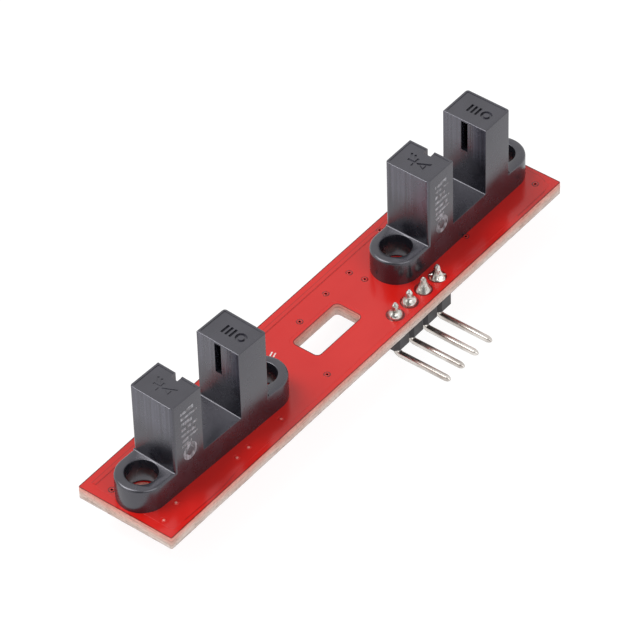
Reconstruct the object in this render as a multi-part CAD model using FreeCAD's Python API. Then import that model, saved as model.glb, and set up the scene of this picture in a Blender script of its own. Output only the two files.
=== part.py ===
import FreeCAD, Part
import math
import os

# Twin slotted optical sensor board. Two flanged photo interrupters stand on a long, narrow circuit
# board with a routed window, and a row of bent square pins leaves the board's front edge.
#
# Lengths are in millimetres and angles in degrees. The origin is on the axis of the board's first
# screw hole, at the top face of its laminate. +X runs along the board to its far end, +Y to the
# edge away from the pins, and +Z up out of the side that carries the sensors.
# Sensor 1 stands at the origin's end of the board, sensor 2 at the far end.

# Circuit board
board_length = 69.2
board_width = 12.8
board_thickness = 1.6
board_end_to_first_hole = 3.4
board_end_to_last_hole = 3.1
board_front_to_first_hole = 6.65
board_hole_diameter = 3.2
mask_thickness = 0.04
mask_edge_margin = 0.05
window_length = 7.7
window_width = 3.5
window_corner_radius = 0.5

# Sensor housing
screw_spacing = 19.05
screw_hole_diameter = 3.6
sensor_width = 5.9
flange_thickness = 3.2
flange_edge_chamfer = 0.2
slot_width = 6.0
slot_floor_height = 3.3
tower_thickness = 4.5
tower_height = 12.55
tower_outer_corner_radius = 0.35
tower_top_chamfer = 0.1
tower_end_wall = 0.85
tower_side_wall = 0.8
tower_roof = 1.0
slit_bottom_height = 8.2
emitter_slit_width = 1.0
detector_slit_width = 0.9
detector_slit_skin = 0.2

# How far each sensor and its holes in the board are turned about the sensor's first screw hole,
# seen from above. The nearer one stands slightly askew.
sensor_turns = (-2.5, 0.0)

# Emitter and detector packages inside the towers
package_thickness = 1.5
package_height = 5.8
package_side_play = 0.05
lens_radius = 0.95
lens_rise = 0.5
lens_axis_height = 10.1
lead_pitch = 2.54
lead_width = 0.5
lead_thickness = 0.4
lead_embed = 1.6
lead_tail = 1.5

# Pin header
header_pins = 4
header_pitch = 2.54
header_first_pin_from_middle = 6.25
header_row_from_edge = 1.85
header_body_width = 2.5
header_body_height = 2.5
header_notch = 0.45
pin_size = 0.64
pin_stub = 1.75
pin_drop = 3.95
pin_bend_radius = 0.8
pin_reach = 7.45
pin_taper_length = 0.5
pin_tip_size = 0.3

# Soldering
pin_hole_play = 0.05
lead_hole_play = 0.13
pad_ring = 0.4
solder_film = 0.05
header_solder_height = 1.3
lead_solder_height = 1.1
fillet_steps = 3

# Chip parts on the underside
resistor_length = 2.0
resistor_width = 1.25
resistor_thickness = 0.5
capacitor_thickness = 0.8
chip_terminal = 0.35
chip_standoff = 0.05
chip_fillet_reach = 0.5
chip_fillet_height = 0.35
chip_to_window = 3.0
chip_row_offset = 1.9

# Values that follow from those above
board_start = -board_end_to_first_hole
board_front = -board_front_to_first_hole
board_middle = board_front + board_width / 2
sensor_pitch = board_length - board_end_to_first_hole - board_end_to_last_hole - screw_spacing
first_hole_places = ((0, 0), (sensor_pitch, board_middle))
core_bottom = 2 * mask_thickness - board_thickness
underside = core_bottom - mask_thickness
seat = mask_thickness
window_centre = board_start + board_length / 2
tower_inner_face = slot_width / 2
tower_outer_face = tower_inner_face + tower_thickness
cavity_thickness = tower_thickness - 2 * tower_end_wall
cavity_width = sensor_width - 2 * tower_side_wall
cavity_height = tower_height - tower_roof
package_width = cavity_width - 2 * package_side_play
package_centre = tower_outer_face - tower_end_wall - package_thickness / 2
package_bottom = cavity_height - package_height
lead_half_diagonal = math.hypot(lead_width, lead_thickness) / 2
lead_hole_radius = lead_half_diagonal + lead_hole_play
lead_pad_width = 2 * (lead_hole_radius + pad_ring)
header_row = board_front + header_row_from_edge
pin_half_diagonal = pin_size / math.sqrt(2)
pin_hole_radius = pin_half_diagonal + pin_hole_play
pin_pad_width = 2 * (pin_hole_radius + pad_ring)
pin_axis_height = underside - pin_drop
board_hole_radius = board_hole_diameter / 2
screw_hole_radius = screw_hole_diameter / 2


def box(x_low, x_high, y_low, y_high, z_low, z_high):
    """Solid block between two opposite corners."""
    corner = FreeCAD.Vector(x_low, y_low, z_low)
    return Part.makeBox(x_high - x_low, y_high - y_low, z_high - z_low, corner)


def cylinder(radius, x, y, z_low, z_high):
    """Upright solid cylinder."""
    return Part.makeCylinder(radius, z_high - z_low, FreeCAD.Vector(x, y, z_low))


def with_rounded_uprights(block, radius, x_places):
    """Block with its upright edges rounded where they stand at one of the given distances along X."""
    chosen = []
    for edge in block.Edges:
        limits = edge.BoundBox
        upright = limits.ZLength > limits.DiagonalLength - 1e-6
        if upright and any(abs(limits.Center.x - x) < 1e-6 for x in x_places):
            chosen.append(edge)
    return block.makeFillet(radius, chosen)


def octagon(width, x, y, z):
    """Closed level octagonal wire of a given width across its flats."""
    reach = width / 2 / math.cos(math.pi / 8)
    corners = []
    for number in range(8):
        angle = math.radians(22.5 + 45 * number)
        corners.append(FreeCAD.Vector(x + reach * math.cos(angle), y + reach * math.sin(angle), z))
    return Part.makePolygon(corners + corners[:1])


def octagonal_prism(width, x, y, z_low, z_high):
    """Upright octagonal solid of a given width across its flats."""
    return Part.Face(octagon(width, x, y, z_low)).extrude(FreeCAD.Vector(0, 0, z_high - z_low))


def edges_at_height(shape, height):
    """Edges of a shape that lie wholly in the plane z = height."""
    found = []
    for edge in shape.Edges:
        limits = edge.BoundBox
        if abs(limits.ZMin - height) < 1e-6 and abs(limits.ZMax - height) < 1e-6:
            found.append(edge)
    return found


def on_board(sensor, x, y):
    """Place on the board of a point drawn about a sensor's first screw hole."""
    turn = math.radians(sensor_turns[sensor])
    hole_x, hole_y = first_hole_places[sensor]
    return (hole_x + x * math.cos(turn) - y * math.sin(turn),
            hole_y + x * math.sin(turn) + y * math.cos(turn))


def seated(shape, sensor):
    """Copy of a shape, drawn about its sensor's centre and foot, turned and moved to its place."""
    placed = shape.copy()
    placed.rotate(FreeCAD.Vector(0, 0, 0), FreeCAD.Vector(0, 0, 1), sensor_turns[sensor])
    placed.translate(FreeCAD.Vector(*on_board(sensor, screw_spacing / 2, 0), seat))
    return placed


def board_hole_places():
    """Centres of the four screw holes in the board, each in line with a flange hole."""
    return [on_board(sensor, x, 0) for sensor in range(len(sensor_turns)) for x in (0, screw_spacing)]


def lead_hole_places(sensor):
    """Centres of the holes for one sensor's leads, emitter pair first."""
    places = []
    for side in (-1, 1):
        for half in (-1, 1):
            along = screw_spacing / 2 + side * package_centre
            places.append(on_board(sensor, along, half * lead_pitch / 2))
    return places


def all_lead_hole_places():
    """Centres of the lead holes of both sensors."""
    return [place for sensor in range(len(sensor_turns)) for place in lead_hole_places(sensor)]


def pin_places():
    """Centres of the header's holes in the board."""
    first = window_centre + header_first_pin_from_middle
    return [(first + number * header_pitch, header_row) for number in range(header_pins)]


def board_plate(margin, z_low, z_high):
    """Plate on the board's outline, drawn in by a margin, with the window open by the same margin."""
    plate = box(board_start + margin, board_start + board_length - margin,
                board_front + margin, board_front + board_width - margin, z_low, z_high)
    half_length = window_length / 2 + margin
    half_width = window_width / 2 + margin
    ends = (window_centre - half_length, window_centre + half_length)
    window = box(*ends, board_middle - half_width, board_middle + half_width, z_low, z_high)
    return plate.cut(with_rounded_uprights(window, window_corner_radius + margin, ends))


def drilled(plate, places, radius, z_low, z_high):
    """Plate with a round hole at each place."""
    return plate.cut([cylinder(radius, x, y, z_low, z_high) for x, y in places])


def opened(coat, places, pad_width, z_low, z_high):
    """Coat with an opening on the outline of the solder pad at each place."""
    return coat.cut([octagonal_prism(pad_width, x, y, z_low, z_high) for x, y in places])


def circuit_board():
    """Glass-fibre laminate with its window and every drilled hole."""
    core = board_plate(0, core_bottom, 0)
    core = drilled(core, board_hole_places(), board_hole_radius, core_bottom, 0)
    core = drilled(core, all_lead_hole_places(), lead_hole_radius, core_bottom, 0)
    return drilled(core, pin_places(), pin_hole_radius, core_bottom, 0)


def solder_mask(z_low, z_high):
    """Coat of solder mask, drilled with the board and open over every soldered pad."""
    coat = board_plate(mask_edge_margin, z_low, z_high)
    coat = drilled(coat, board_hole_places(), board_hole_radius, z_low, z_high)
    coat = opened(coat, all_lead_hole_places(), lead_pad_width, z_low, z_high)
    return opened(coat, pin_places(), pin_pad_width, z_low, z_high)


def flange_plate():
    """Racetrack plate under the towers, with rounded ends about the screw holes."""
    end_radius = sensor_width / 2
    reach = screw_spacing / 2
    middle = box(-reach, reach, -end_radius, end_radius, 0, flange_thickness)
    ends = [cylinder(end_radius, side * reach, 0, 0, flange_thickness) for side in (-1, 1)]
    plate = middle.fuse(ends).removeSplitter()
    return plate.makeChamfer(flange_edge_chamfer, edges_at_height(plate, flange_thickness))


def tower(side):
    """Solid tower on one side of the slot, -1 for the emitter's and 1 for the detector's."""
    half = sensor_width / 2
    faces = sorted((side * tower_inner_face, side * tower_outer_face))
    block = box(*faces, -half, half, 0, tower_height)
    block = with_rounded_uprights(block, tower_outer_corner_radius, [side * tower_outer_face])
    return block.makeChamfer(tower_top_chamfer, edges_at_height(block, tower_height))


def cavity(side):
    """Space inside a tower, open at the bottom, that takes a package and its leads."""
    centre = side * (tower_inner_face + tower_outer_face) / 2
    half = cavity_thickness / 2
    return box(centre - half, centre + half, -cavity_width / 2, cavity_width / 2, 0, cavity_height)


def slit(side):
    """Light slit through a tower's slot wall. The emitter's runs out through the top as a notch."""
    width, top = {-1: (emitter_slit_width, tower_height),
                  1: (detector_slit_width, tower_height - detector_slit_skin)}[side]
    x_low, x_high = sorted((side * tower_inner_face, side * (tower_inner_face + tower_end_wall)))
    return box(x_low, x_high, -width / 2, width / 2, slit_bottom_height, top)


def housing():
    """Moulded housing: flanged base, two hollow towers, a light slit in each, and two screw holes."""
    half = sensor_width / 2
    bridge = box(-tower_inner_face, tower_inner_face, -half, half, 0, slot_floor_height)
    feet = [box(*sorted((side * tower_inner_face, side * (tower_outer_face - tower_outer_corner_radius))),
                -half, half, 0, flange_thickness) for side in (-1, 1)]
    body = flange_plate().fuse([bridge, tower(-1), tower(1)] + feet).removeSplitter()
    cuts = []
    for side in (-1, 1):
        cuts += [cavity(side), slit(side)]
        cuts.append(cylinder(screw_hole_radius, side * screw_spacing / 2, 0, 0, flange_thickness))
    return body.cut(cuts)


def lead(side, half):
    """Straight flat lead from inside a package down through the board."""
    centre = side * package_centre
    middle = half * lead_pitch / 2
    return box(centre - lead_thickness / 2, centre + lead_thickness / 2,
               middle - lead_width / 2, middle + lead_width / 2,
               underside - seat - lead_tail, package_bottom + lead_embed)


def package(side):
    """Moulded emitter or detector package with a domed lens towards the slot."""
    inner_face = package_centre - package_thickness / 2
    block = box(*sorted((side * inner_face, side * (inner_face + package_thickness))),
                -package_width / 2, package_width / 2, package_bottom, cavity_height)
    sphere_radius = (lens_radius ** 2 + lens_rise ** 2) / (2 * lens_rise)
    lens_centre = side * (inner_face - lens_rise + sphere_radius)
    ball = Part.makeSphere(sphere_radius, FreeCAD.Vector(lens_centre, 0, lens_axis_height))
    x_low, x_high = sorted((side * inner_face, side * (inner_face - lens_rise)))
    reach = 2 * lens_radius
    lens = ball.common(box(x_low, x_high, -reach, reach, lens_axis_height - reach, lens_axis_height + reach))
    return block.fuse(lens).cut([lead(side, half) for half in (-1, 1)])


def solder_fillet(place, pad_width, neck_width, foot, tip):
    """Solder that narrows from the pad at its foot to the neck at its tip, along a quarter ellipse."""
    rings = []
    for step in range(fillet_steps + 1):
        angle = math.radians(90 * step / fillet_steps)
        width = pad_width - (pad_width - neck_width) * math.sin(angle)
        height = foot + (tip - foot) * (1 - math.cos(angle))
        rings.append(octagon(width, *place, height))
    return Part.makeLoft(rings, True, True)


def header_joint(place, pin):
    """Solder that fills a header hole, its underside pad, and the fillet round the pin on top."""
    neck_width = 2 * (pin_half_diagonal + solder_film)
    fill = cylinder(pin_hole_radius, *place, core_bottom, 0)
    pad = octagonal_prism(pin_pad_width, *place, underside, core_bottom)
    fillet = solder_fillet(place, pin_pad_width, neck_width, 0, seat + header_solder_height)
    return fill.fuse([pad, fillet]).cut(pin)


def lead_joint(place, lead_in_place):
    """Solder that fills a lead's hole, its topside pad, and the fillet round the lead underneath."""
    neck_width = 2 * (lead_half_diagonal + solder_film)
    fill = cylinder(lead_hole_radius, *place, core_bottom, 0)
    pad = octagonal_prism(lead_pad_width, *place, 0, seat)
    fillet = solder_fillet(place, lead_pad_width, neck_width, core_bottom, underside - lead_solder_height)
    return fill.fuse([pad, fillet]).cut(lead_in_place)


def square_wire(size, centre, first, second):
    """Closed square wire of a given side about a centre, spanned by two unit directions."""
    half = size / 2
    corners = []
    for a, b in ((-half, -half), (half, -half), (half, half), (-half, half)):
        corners.append(centre + first * a + second * b)
    return Part.makePolygon(corners + corners[:1])


def taper(start, end, first, second):
    """Tapered square tip of a pin."""
    wires = [square_wire(pin_size, start, first, second), square_wire(pin_tip_size, end, first, second)]
    return Part.makeLoft(wires, True, True)


def header_pin(place):
    """Square pin: a stub above the board, a bend below the header, and a leg out past the edge."""
    x, y = place
    along_x = FreeCAD.Vector(1, 0, 0)
    along_y = FreeCAD.Vector(0, 1, 0)
    along_z = FreeCAD.Vector(0, 0, 1)
    bend_start = FreeCAD.Vector(x, y, pin_axis_height + pin_bend_radius)
    bend_end = FreeCAD.Vector(x, y - pin_bend_radius, pin_axis_height)
    stub_end = FreeCAD.Vector(x, y, seat + pin_stub - pin_taper_length)
    leg_end = FreeCAD.Vector(x, y - pin_reach + pin_taper_length, pin_axis_height)
    upright_foot = Part.Face(square_wire(pin_size, bend_start, along_x, along_y))
    leg_root = Part.Face(square_wire(pin_size, bend_end, along_x, along_z))
    bend_axis = FreeCAD.Vector(x, y - pin_bend_radius, pin_axis_height + pin_bend_radius)
    bend = upright_foot.revolve(bend_axis, along_x, -90)
    upright = upright_foot.extrude(stub_end - bend_start)
    leg = leg_root.extrude(leg_end - bend_end)
    stub_tip = taper(stub_end, stub_end + along_z * pin_taper_length, along_x, along_y)
    leg_tip = taper(leg_end, leg_end - along_y * pin_taper_length, along_x, along_z)
    return bend.fuse([upright, leg, stub_tip, leg_tip]).removeSplitter()


def header_body(pins):
    """Header block of joined octagonal segments, one round each pin."""
    half_pitch = header_pitch / 2
    half_width = header_body_width / 2
    outline = [(-half_pitch, -half_width + header_notch), (-half_pitch + header_notch, -half_width),
               (half_pitch - header_notch, -half_width), (half_pitch, -half_width + header_notch),
               (half_pitch, half_width - header_notch), (half_pitch - header_notch, half_width),
               (-half_pitch + header_notch, half_width), (-half_pitch, half_width - header_notch)]
    segments = []
    for x, y in pin_places():
        corners = [FreeCAD.Vector(x + dx, y + dy, underside - header_body_height) for dx, dy in outline]
        face = Part.Face(Part.makePolygon(corners + corners[:1]))
        segments.append(face.extrude(FreeCAD.Vector(0, 0, header_body_height)))
    return segments[0].fuse(segments[1:]).removeSplitter().cut(pins)


def chip_places():
    """Centre and thickness of each chip part, by name."""
    near_x = window_centre - window_length / 2 - chip_to_window
    far_x = window_centre + window_length / 2 + chip_to_window
    front_row = board_middle - chip_row_offset
    back_row = board_middle + chip_row_offset
    return {
        "emitter_resistor_1": (near_x, front_row, resistor_thickness),
        "output_resistor_1": (near_x, back_row, resistor_thickness),
        "emitter_resistor_2": (far_x, front_row, resistor_thickness),
        "output_resistor_2": (far_x, back_row, resistor_thickness),
        "supply_capacitor": (far_x, board_middle, capacitor_thickness),
    }


def chip(x, y, thickness):
    """Chip part hanging under the board on its solder."""
    top = underside - chip_standoff
    return box(x - resistor_length / 2, x + resistor_length / 2,
               y - resistor_width / 2, y + resistor_width / 2, top - thickness, top)


def chip_solder(x, y, side):
    """Solder under one end of a chip part, with its sloping fillet on the end face."""
    face_x = resistor_length / 2
    outline = [(face_x - chip_terminal, core_bottom), (face_x + chip_fillet_reach, core_bottom),
               (face_x + chip_fillet_reach, underside),
               (face_x + chip_fillet_reach / 3, underside - chip_standoff - chip_fillet_height / 3),
               (face_x, underside - chip_standoff - chip_fillet_height),
               (face_x, underside - chip_standoff), (face_x - chip_terminal, underside - chip_standoff)]
    corners = [FreeCAD.Vector(x + side * dx, y - resistor_width / 2, z) for dx, z in outline]
    face = Part.Face(Part.makePolygon(corners + corners[:1]))
    return face.extrude(FreeCAD.Vector(0, resistor_width, 0))


def all_pieces():
    """Every piece of the board, by its name."""
    pieces = {"circuit_board": circuit_board()}
    chip_joints = {}
    for name, (x, y, thickness) in chip_places().items():
        pieces[name] = chip(x, y, thickness)
        for letter, side in (("a", -1), ("b", 1)):
            chip_joints[f"{name}_solder_{letter}"] = chip_solder(x, y, side)
    pieces.update(chip_joints)
    pieces["solder_mask_top"] = solder_mask(0, seat)
    pieces["solder_mask_bottom"] = solder_mask(underside, core_bottom).cut(list(chip_joints.values()))

    for sensor in range(len(sensor_turns)):
        label = f"sensor_{sensor + 1}"
        pieces[f"{label}_housing"] = seated(housing(), sensor)
        pieces[f"{label}_emitter"] = seated(package(-1), sensor)
        pieces[f"{label}_detector"] = seated(package(1), sensor)
        sides = ((-1, -1), (-1, 1), (1, -1), (1, 1))
        for number, (place, (side, half)) in enumerate(zip(lead_hole_places(sensor), sides), start=1):
            placed_lead = seated(lead(side, half), sensor)
            pieces[f"{label}_lead_{number}"] = placed_lead
            pieces[f"{label}_lead_solder_{number}"] = lead_joint(place, placed_lead)

    pins = [header_pin(place) for place in pin_places()]
    pieces["header_body"] = header_body(pins)
    for number, (place, pin) in enumerate(zip(pin_places(), pins), start=1):
        pieces[f"header_pin_{number}"] = pin
        pieces[f"header_pin_solder_{number}"] = header_joint(place, pin)
    return pieces


def single_solid(name, shape):
    """The one solid of a piece."""
    if len(shape.Solids) != 1 or not shape.isValid():
        raise ValueError(f"{name} has {len(shape.Solids)} solids, valid: {shape.isValid()}")
    return shape.Solids[0]


os.makedirs("parts", exist_ok=True)
for piece_name, piece_shape in all_pieces().items():
    single_solid(piece_name, piece_shape).exportStep(f"parts/{piece_name}.step")
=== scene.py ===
"""Twin slotted optical sensor board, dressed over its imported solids.

Lengths in the classes are millimetres in the part's own frame: the origin on the axis of the first
screw hole at the laminate's top face, +X along the board, +Y to the edge away from the pins, +Z up.
"""
import logging
import math
from dataclasses import dataclass
from enum import Enum
from typing import Iterable, Sequence

import bmesh
import bpy
from mathutils import Matrix, Vector, noise
from mathutils.geometry import tessellate_polygon


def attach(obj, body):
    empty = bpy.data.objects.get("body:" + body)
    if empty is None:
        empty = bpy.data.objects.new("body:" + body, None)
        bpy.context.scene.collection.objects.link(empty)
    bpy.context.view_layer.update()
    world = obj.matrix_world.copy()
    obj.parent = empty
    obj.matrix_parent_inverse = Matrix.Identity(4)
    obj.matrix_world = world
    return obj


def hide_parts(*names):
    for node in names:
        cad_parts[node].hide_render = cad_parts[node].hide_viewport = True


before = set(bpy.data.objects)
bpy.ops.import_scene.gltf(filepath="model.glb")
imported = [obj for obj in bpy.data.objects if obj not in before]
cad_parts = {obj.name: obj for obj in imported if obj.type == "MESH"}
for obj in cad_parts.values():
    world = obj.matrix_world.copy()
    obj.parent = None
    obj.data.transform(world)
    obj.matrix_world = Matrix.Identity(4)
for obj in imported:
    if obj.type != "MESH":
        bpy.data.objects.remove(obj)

LOG = logging.getLogger("sensor_board")
MM = 0.001
Point = tuple[float, float]
Ring = list[Vector]


# ------------------------------------------------------------------ colour and node helpers

def linear(code: str) -> tuple[float, float, float, float]:
    """Linear colour of an sRGB hex code.

    Args:
        code: Colour as "#rrggbb".

    Returns:
        Red, green, blue and an alpha of one.
    """
    parts = [int(code[i:i + 2], 16) / 255 for i in (1, 3, 5)]
    tones = [p / 12.92 if p <= 0.04045 else ((p + 0.055) / 1.055) ** 2.4 for p in parts]
    return (tones[0], tones[1], tones[2], 1.0)


def feed(tree: bpy.types.NodeTree, node: bpy.types.Node, values: dict | None = None,
         links: dict | None = None) -> None:
    """Sets input values of a node and links its inputs.

    Args:
        tree: Node tree that holds the node.
        node: Node that is fed.
        values: Input values, by input name or number.
        links: Output sockets that feed inputs, by input name or number.
    """
    for name, value in (values or {}).items():
        node.inputs[name].default_value = value
    for name, socket in (links or {}).items():
        tree.links.new(socket, node.inputs[name])


def add(tree: bpy.types.NodeTree, kind: str, settings: dict | None = None,
        values: dict | None = None, links: dict | None = None) -> bpy.types.Node:
    """Adds one node with its settings, input values and incoming links.

    Args:
        tree: Node tree that gets the node.
        kind: Blender's name for the node's type.
        settings: Attributes of the node itself.
        values: Input values, by input name or number.
        links: Output sockets that feed inputs, by input name or number.

    Returns:
        The new node.
    """
    node = tree.nodes.new(kind)
    for name, value in (settings or {}).items():
        setattr(node, name, value)
    feed(tree, node, values, links)
    return node


def ramp(tree: bpy.types.NodeTree, source: bpy.types.NodeSocket,
         stops: Sequence[tuple[float, str]]) -> bpy.types.NodeSocket:
    """Colour ramp on a source, with its stops as places and hex codes.

    Args:
        tree: Node tree that gets the ramp.
        source: Socket that drives it.
        stops: Place from 0 to 1 and hex colour of each stop.

    Returns:
        The ramp's colour output.
    """
    node = add(tree, "ShaderNodeValToRGB", links={"Fac": source})
    elements = node.color_ramp.elements
    while len(elements) < len(stops):
        elements.new(0.5)
    for element, (place, code) in zip(elements, stops):
        element.position = place
        element.color = linear(code)
    return node.outputs["Color"]


def grain(tree: bpy.types.NodeTree, per_mm: Sequence[float], detail: float = 3.0,
          roughness: float = 0.5) -> bpy.types.NodeSocket:
    """Noise on object coordinates at a real scale.

    Args:
        tree: Node tree that gets the noise.
        per_mm: How many noise cells fit in a millimetre along X, Y and Z.
        detail: Octaves of finer noise.
        roughness: Strength of the finer octaves.

    Returns:
        The noise's factor output.
    """
    place = add(tree, "ShaderNodeTexCoord")
    scaled = add(tree, "ShaderNodeMapping", values={"Scale": [n / MM for n in per_mm]},
                 links={"Vector": place.outputs["Object"]})
    texture = add(tree, "ShaderNodeTexNoise",
                  values={"Scale": 1.0, "Detail": detail, "Roughness": roughness},
                  links={"Vector": scaled.outputs["Vector"]})
    return texture.outputs["Fac"]


def spread(tree: bpy.types.NodeTree, source: bpy.types.NodeSocket, low: float, high: float,
           start: float = 0.0, end: float = 1.0) -> bpy.types.NodeSocket:
    """Maps a range of a factor onto another range, clamped.

    Args:
        tree: Node tree that gets the node.
        source: Factor to map.
        low: Result at the start of the range.
        high: Result at its end.
        start: Start of the source's range.
        end: End of the source's range.

    Returns:
        The mapped value.
    """
    node = add(tree, "ShaderNodeMapRange",
               values={"From Min": start, "From Max": end, "To Min": low, "To Max": high},
               links={"Value": source})
    return node.outputs["Result"]


def bump(tree: bpy.types.NodeTree, height: bpy.types.NodeSocket, depth_mm: float,
         before: bpy.types.NodeSocket | None = None) -> bpy.types.NodeSocket:
    """Bump of a real depth.

    Args:
        tree: Node tree that gets the bump.
        height: Height pattern from 0 to 1.
        depth_mm: Depth of the pattern in millimetres.
        before: Normal of a bump that this one is added to.

    Returns:
        The bumped normal.
    """
    links = {"Height": height}
    if before is not None:
        links["Normal"] = before
    node = add(tree, "ShaderNodeBump", values={"Strength": 1.0, "Distance": depth_mm * MM},
               links=links)
    return node.outputs["Normal"]


def maths(tree: bpy.types.NodeTree, operation: str,
          *sources: bpy.types.NodeSocket) -> bpy.types.NodeSocket:
    """Result of one sum on one or two sockets."""
    node = add(tree, "ShaderNodeMath", {"operation": operation}, links=dict(enumerate(sources)))
    return node.outputs[0]


def coordinate(tree: bpy.types.NodeTree, output: str, axis: str) -> bpy.types.NodeSocket:
    """One axis of a texture coordinate, such as the object's place or the surface's direction."""
    place = add(tree, "ShaderNodeTexCoord")
    parts = add(tree, "ShaderNodeSeparateXYZ", links={0: place.outputs[output]})
    return parts.outputs[axis]


def two_tone(tree: bpy.types.NodeTree, source: bpy.types.NodeSocket, start: float, end: float,
             first: str, second: str) -> bpy.types.NodeSocket:
    """Colour that runs from one tone to another while a factor passes through a range.

    Args:
        tree: Node tree that gets the nodes.
        source: Factor that drives the colour.
        start: Factor at which the first tone ends.
        end: Factor at which the second tone is reached.
        first: Hex colour of the first tone.
        second: Hex colour of the second tone.

    Returns:
        The colour.
    """
    return ramp(tree, spread(tree, source, 0.0, 1.0, start, end), ((0.0, first), (1.0, second)))


# ------------------------------------------------------------------ finishes

@dataclass(frozen=True)
class Finish:
    """Surface finish that a piece gets, as one procedural material."""
    name: str

    def dress(self, tree: bpy.types.NodeTree, shader: bpy.types.Node) -> None:
        """Sets the shader's sockets and links its patterns."""
        raise NotImplementedError

    def material(self) -> bpy.types.Material:
        """The finish's material, made the first time it is asked for."""
        found = bpy.data.materials.get(self.name)
        if found:
            return found
        made = bpy.data.materials.new(self.name)
        made.use_nodes = True
        tree = made.node_tree
        tree.nodes.clear()
        shader = add(tree, "ShaderNodeBsdfPrincipled")
        add(tree, "ShaderNodeOutputMaterial", links={"Surface": shader.outputs["BSDF"]})
        self.dress(tree, shader)
        return made


@dataclass(frozen=True)
class MouldedHousing(Finish):
    """Black glass-filled polyester, injection moulded in a polished tool.

    The eye gets a near-black plastic whose brightness is nearly all gloss: it mirrors the board and
    the bright room softly. High on the towers' end faces the tool has dragged fine upright lines,
    paler and hazier than the rest, and the filler shows as a faint cloudiness.
    """
    dark: str = "#16161c"
    pale: str = "#24242b"
    scuffed: str = "#484853"
    tint: str = "#f7f5ff"
    index: float = 1.84
    gloss: tuple[float, float] = (0.2, 0.32)
    drag_lines_per_mm: float = 3.4
    drag_depth: float = 0.016
    drag_from_mm: float = 5.5
    drag_full_mm: float = 9.5
    speck_depth: float = 0.0025

    def dress(self, tree: bpy.types.NodeTree, shader: bpy.types.Node) -> None:
        """Drag lines, clouds and rubbed patches over a semi-gloss plastic."""
        cloud = grain(tree, (0.35, 0.35, 0.3), 4.0, 0.6)
        lines = grain(tree, (self.drag_lines_per_mm, self.drag_lines_per_mm, 0.05), 1.5, 0.6)
        specks = grain(tree, (7.0, 7.0, 7.0), 2.0, 0.5)
        end_face = maths(tree, "ABSOLUTE", coordinate(tree, "Normal", "X"))
        upper = spread(tree, coordinate(tree, "Object", "Z"), 0.08, 1.0,
                       self.drag_from_mm * MM, self.drag_full_mm * MM)
        zone = maths(tree, "MULTIPLY", upper, spread(tree, end_face, 0.25, 1.0, 0.4, 0.8))
        drag = maths(tree, "MULTIPLY", lines, zone)
        haze = spread(tree, drag, 0.0, 1.0, 0.2, 0.62)
        base = two_tone(tree, cloud, 0.3, 0.7, self.dark, self.pale)
        tinted = add(tree, "ShaderNodeMix", {"data_type": "RGBA"}, {7: linear(self.scuffed)},
                     {0: haze, 6: base})
        fine = bump(tree, specks, self.speck_depth)
        feed(tree, shader, {"IOR": self.index, "Specular Tint": linear(self.tint)},
             {"Base Color": tinted.outputs[2],
              "Roughness": spread(tree, cloud, *self.gloss, 0.3, 0.7),
              "Normal": bump(tree, drag, self.drag_depth, fine)})


@dataclass(frozen=True)
class PrintedInk(Finish):
    """Pad-printed or screen-printed ink, a thin film that is worn or thin in spots."""
    ink: str
    under: str
    cells: tuple[float, float, float]
    detail: float
    ragged: float
    cover: tuple[float, float]
    matt: float

    def dress(self, tree: bpy.types.NodeTree, shader: bpy.types.Node) -> None:
        """Ink that gives way in patches to what lies under it."""
        patches = grain(tree, self.cells, self.detail, self.ragged)
        feed(tree, shader, {"Roughness": self.matt},
             {"Base Color": two_tone(tree, patches, *self.cover, self.under, self.ink)})


@dataclass(frozen=True)
class MaskCoat(Finish):
    """Red liquid photo-imaged solder mask, cured glossy.

    The eye gets a saturated red lacquer with a slight orange peel, and a tone that shifts a little
    between bare laminate and copper underneath.
    """
    deep: str = "#cf120a"
    bright: str = "#d61b12"
    sheen: float = 0.17
    sheen_spread: float = 0.08
    index: float = 1.52
    ripple: float = 0.004

    def dress(self, tree: bpy.types.NodeTree, shader: bpy.types.Node) -> None:
        """Cloudy red under a smooth lacquer with a soft ripple."""
        cloud = grain(tree, (0.09, 0.12, 0.12), 3.0, 0.5)
        weave = grain(tree, (1.1, 1.1, 1.1), 2.0, 0.5)
        feed(tree, shader, {"IOR": self.index},
             {"Base Color": two_tone(tree, cloud, 0.3, 0.7, self.deep, self.bright),
              "Roughness": spread(tree, weave, self.sheen, self.sheen + self.sheen_spread),
              "Normal": bump(tree, weave, self.ripple)})


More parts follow.
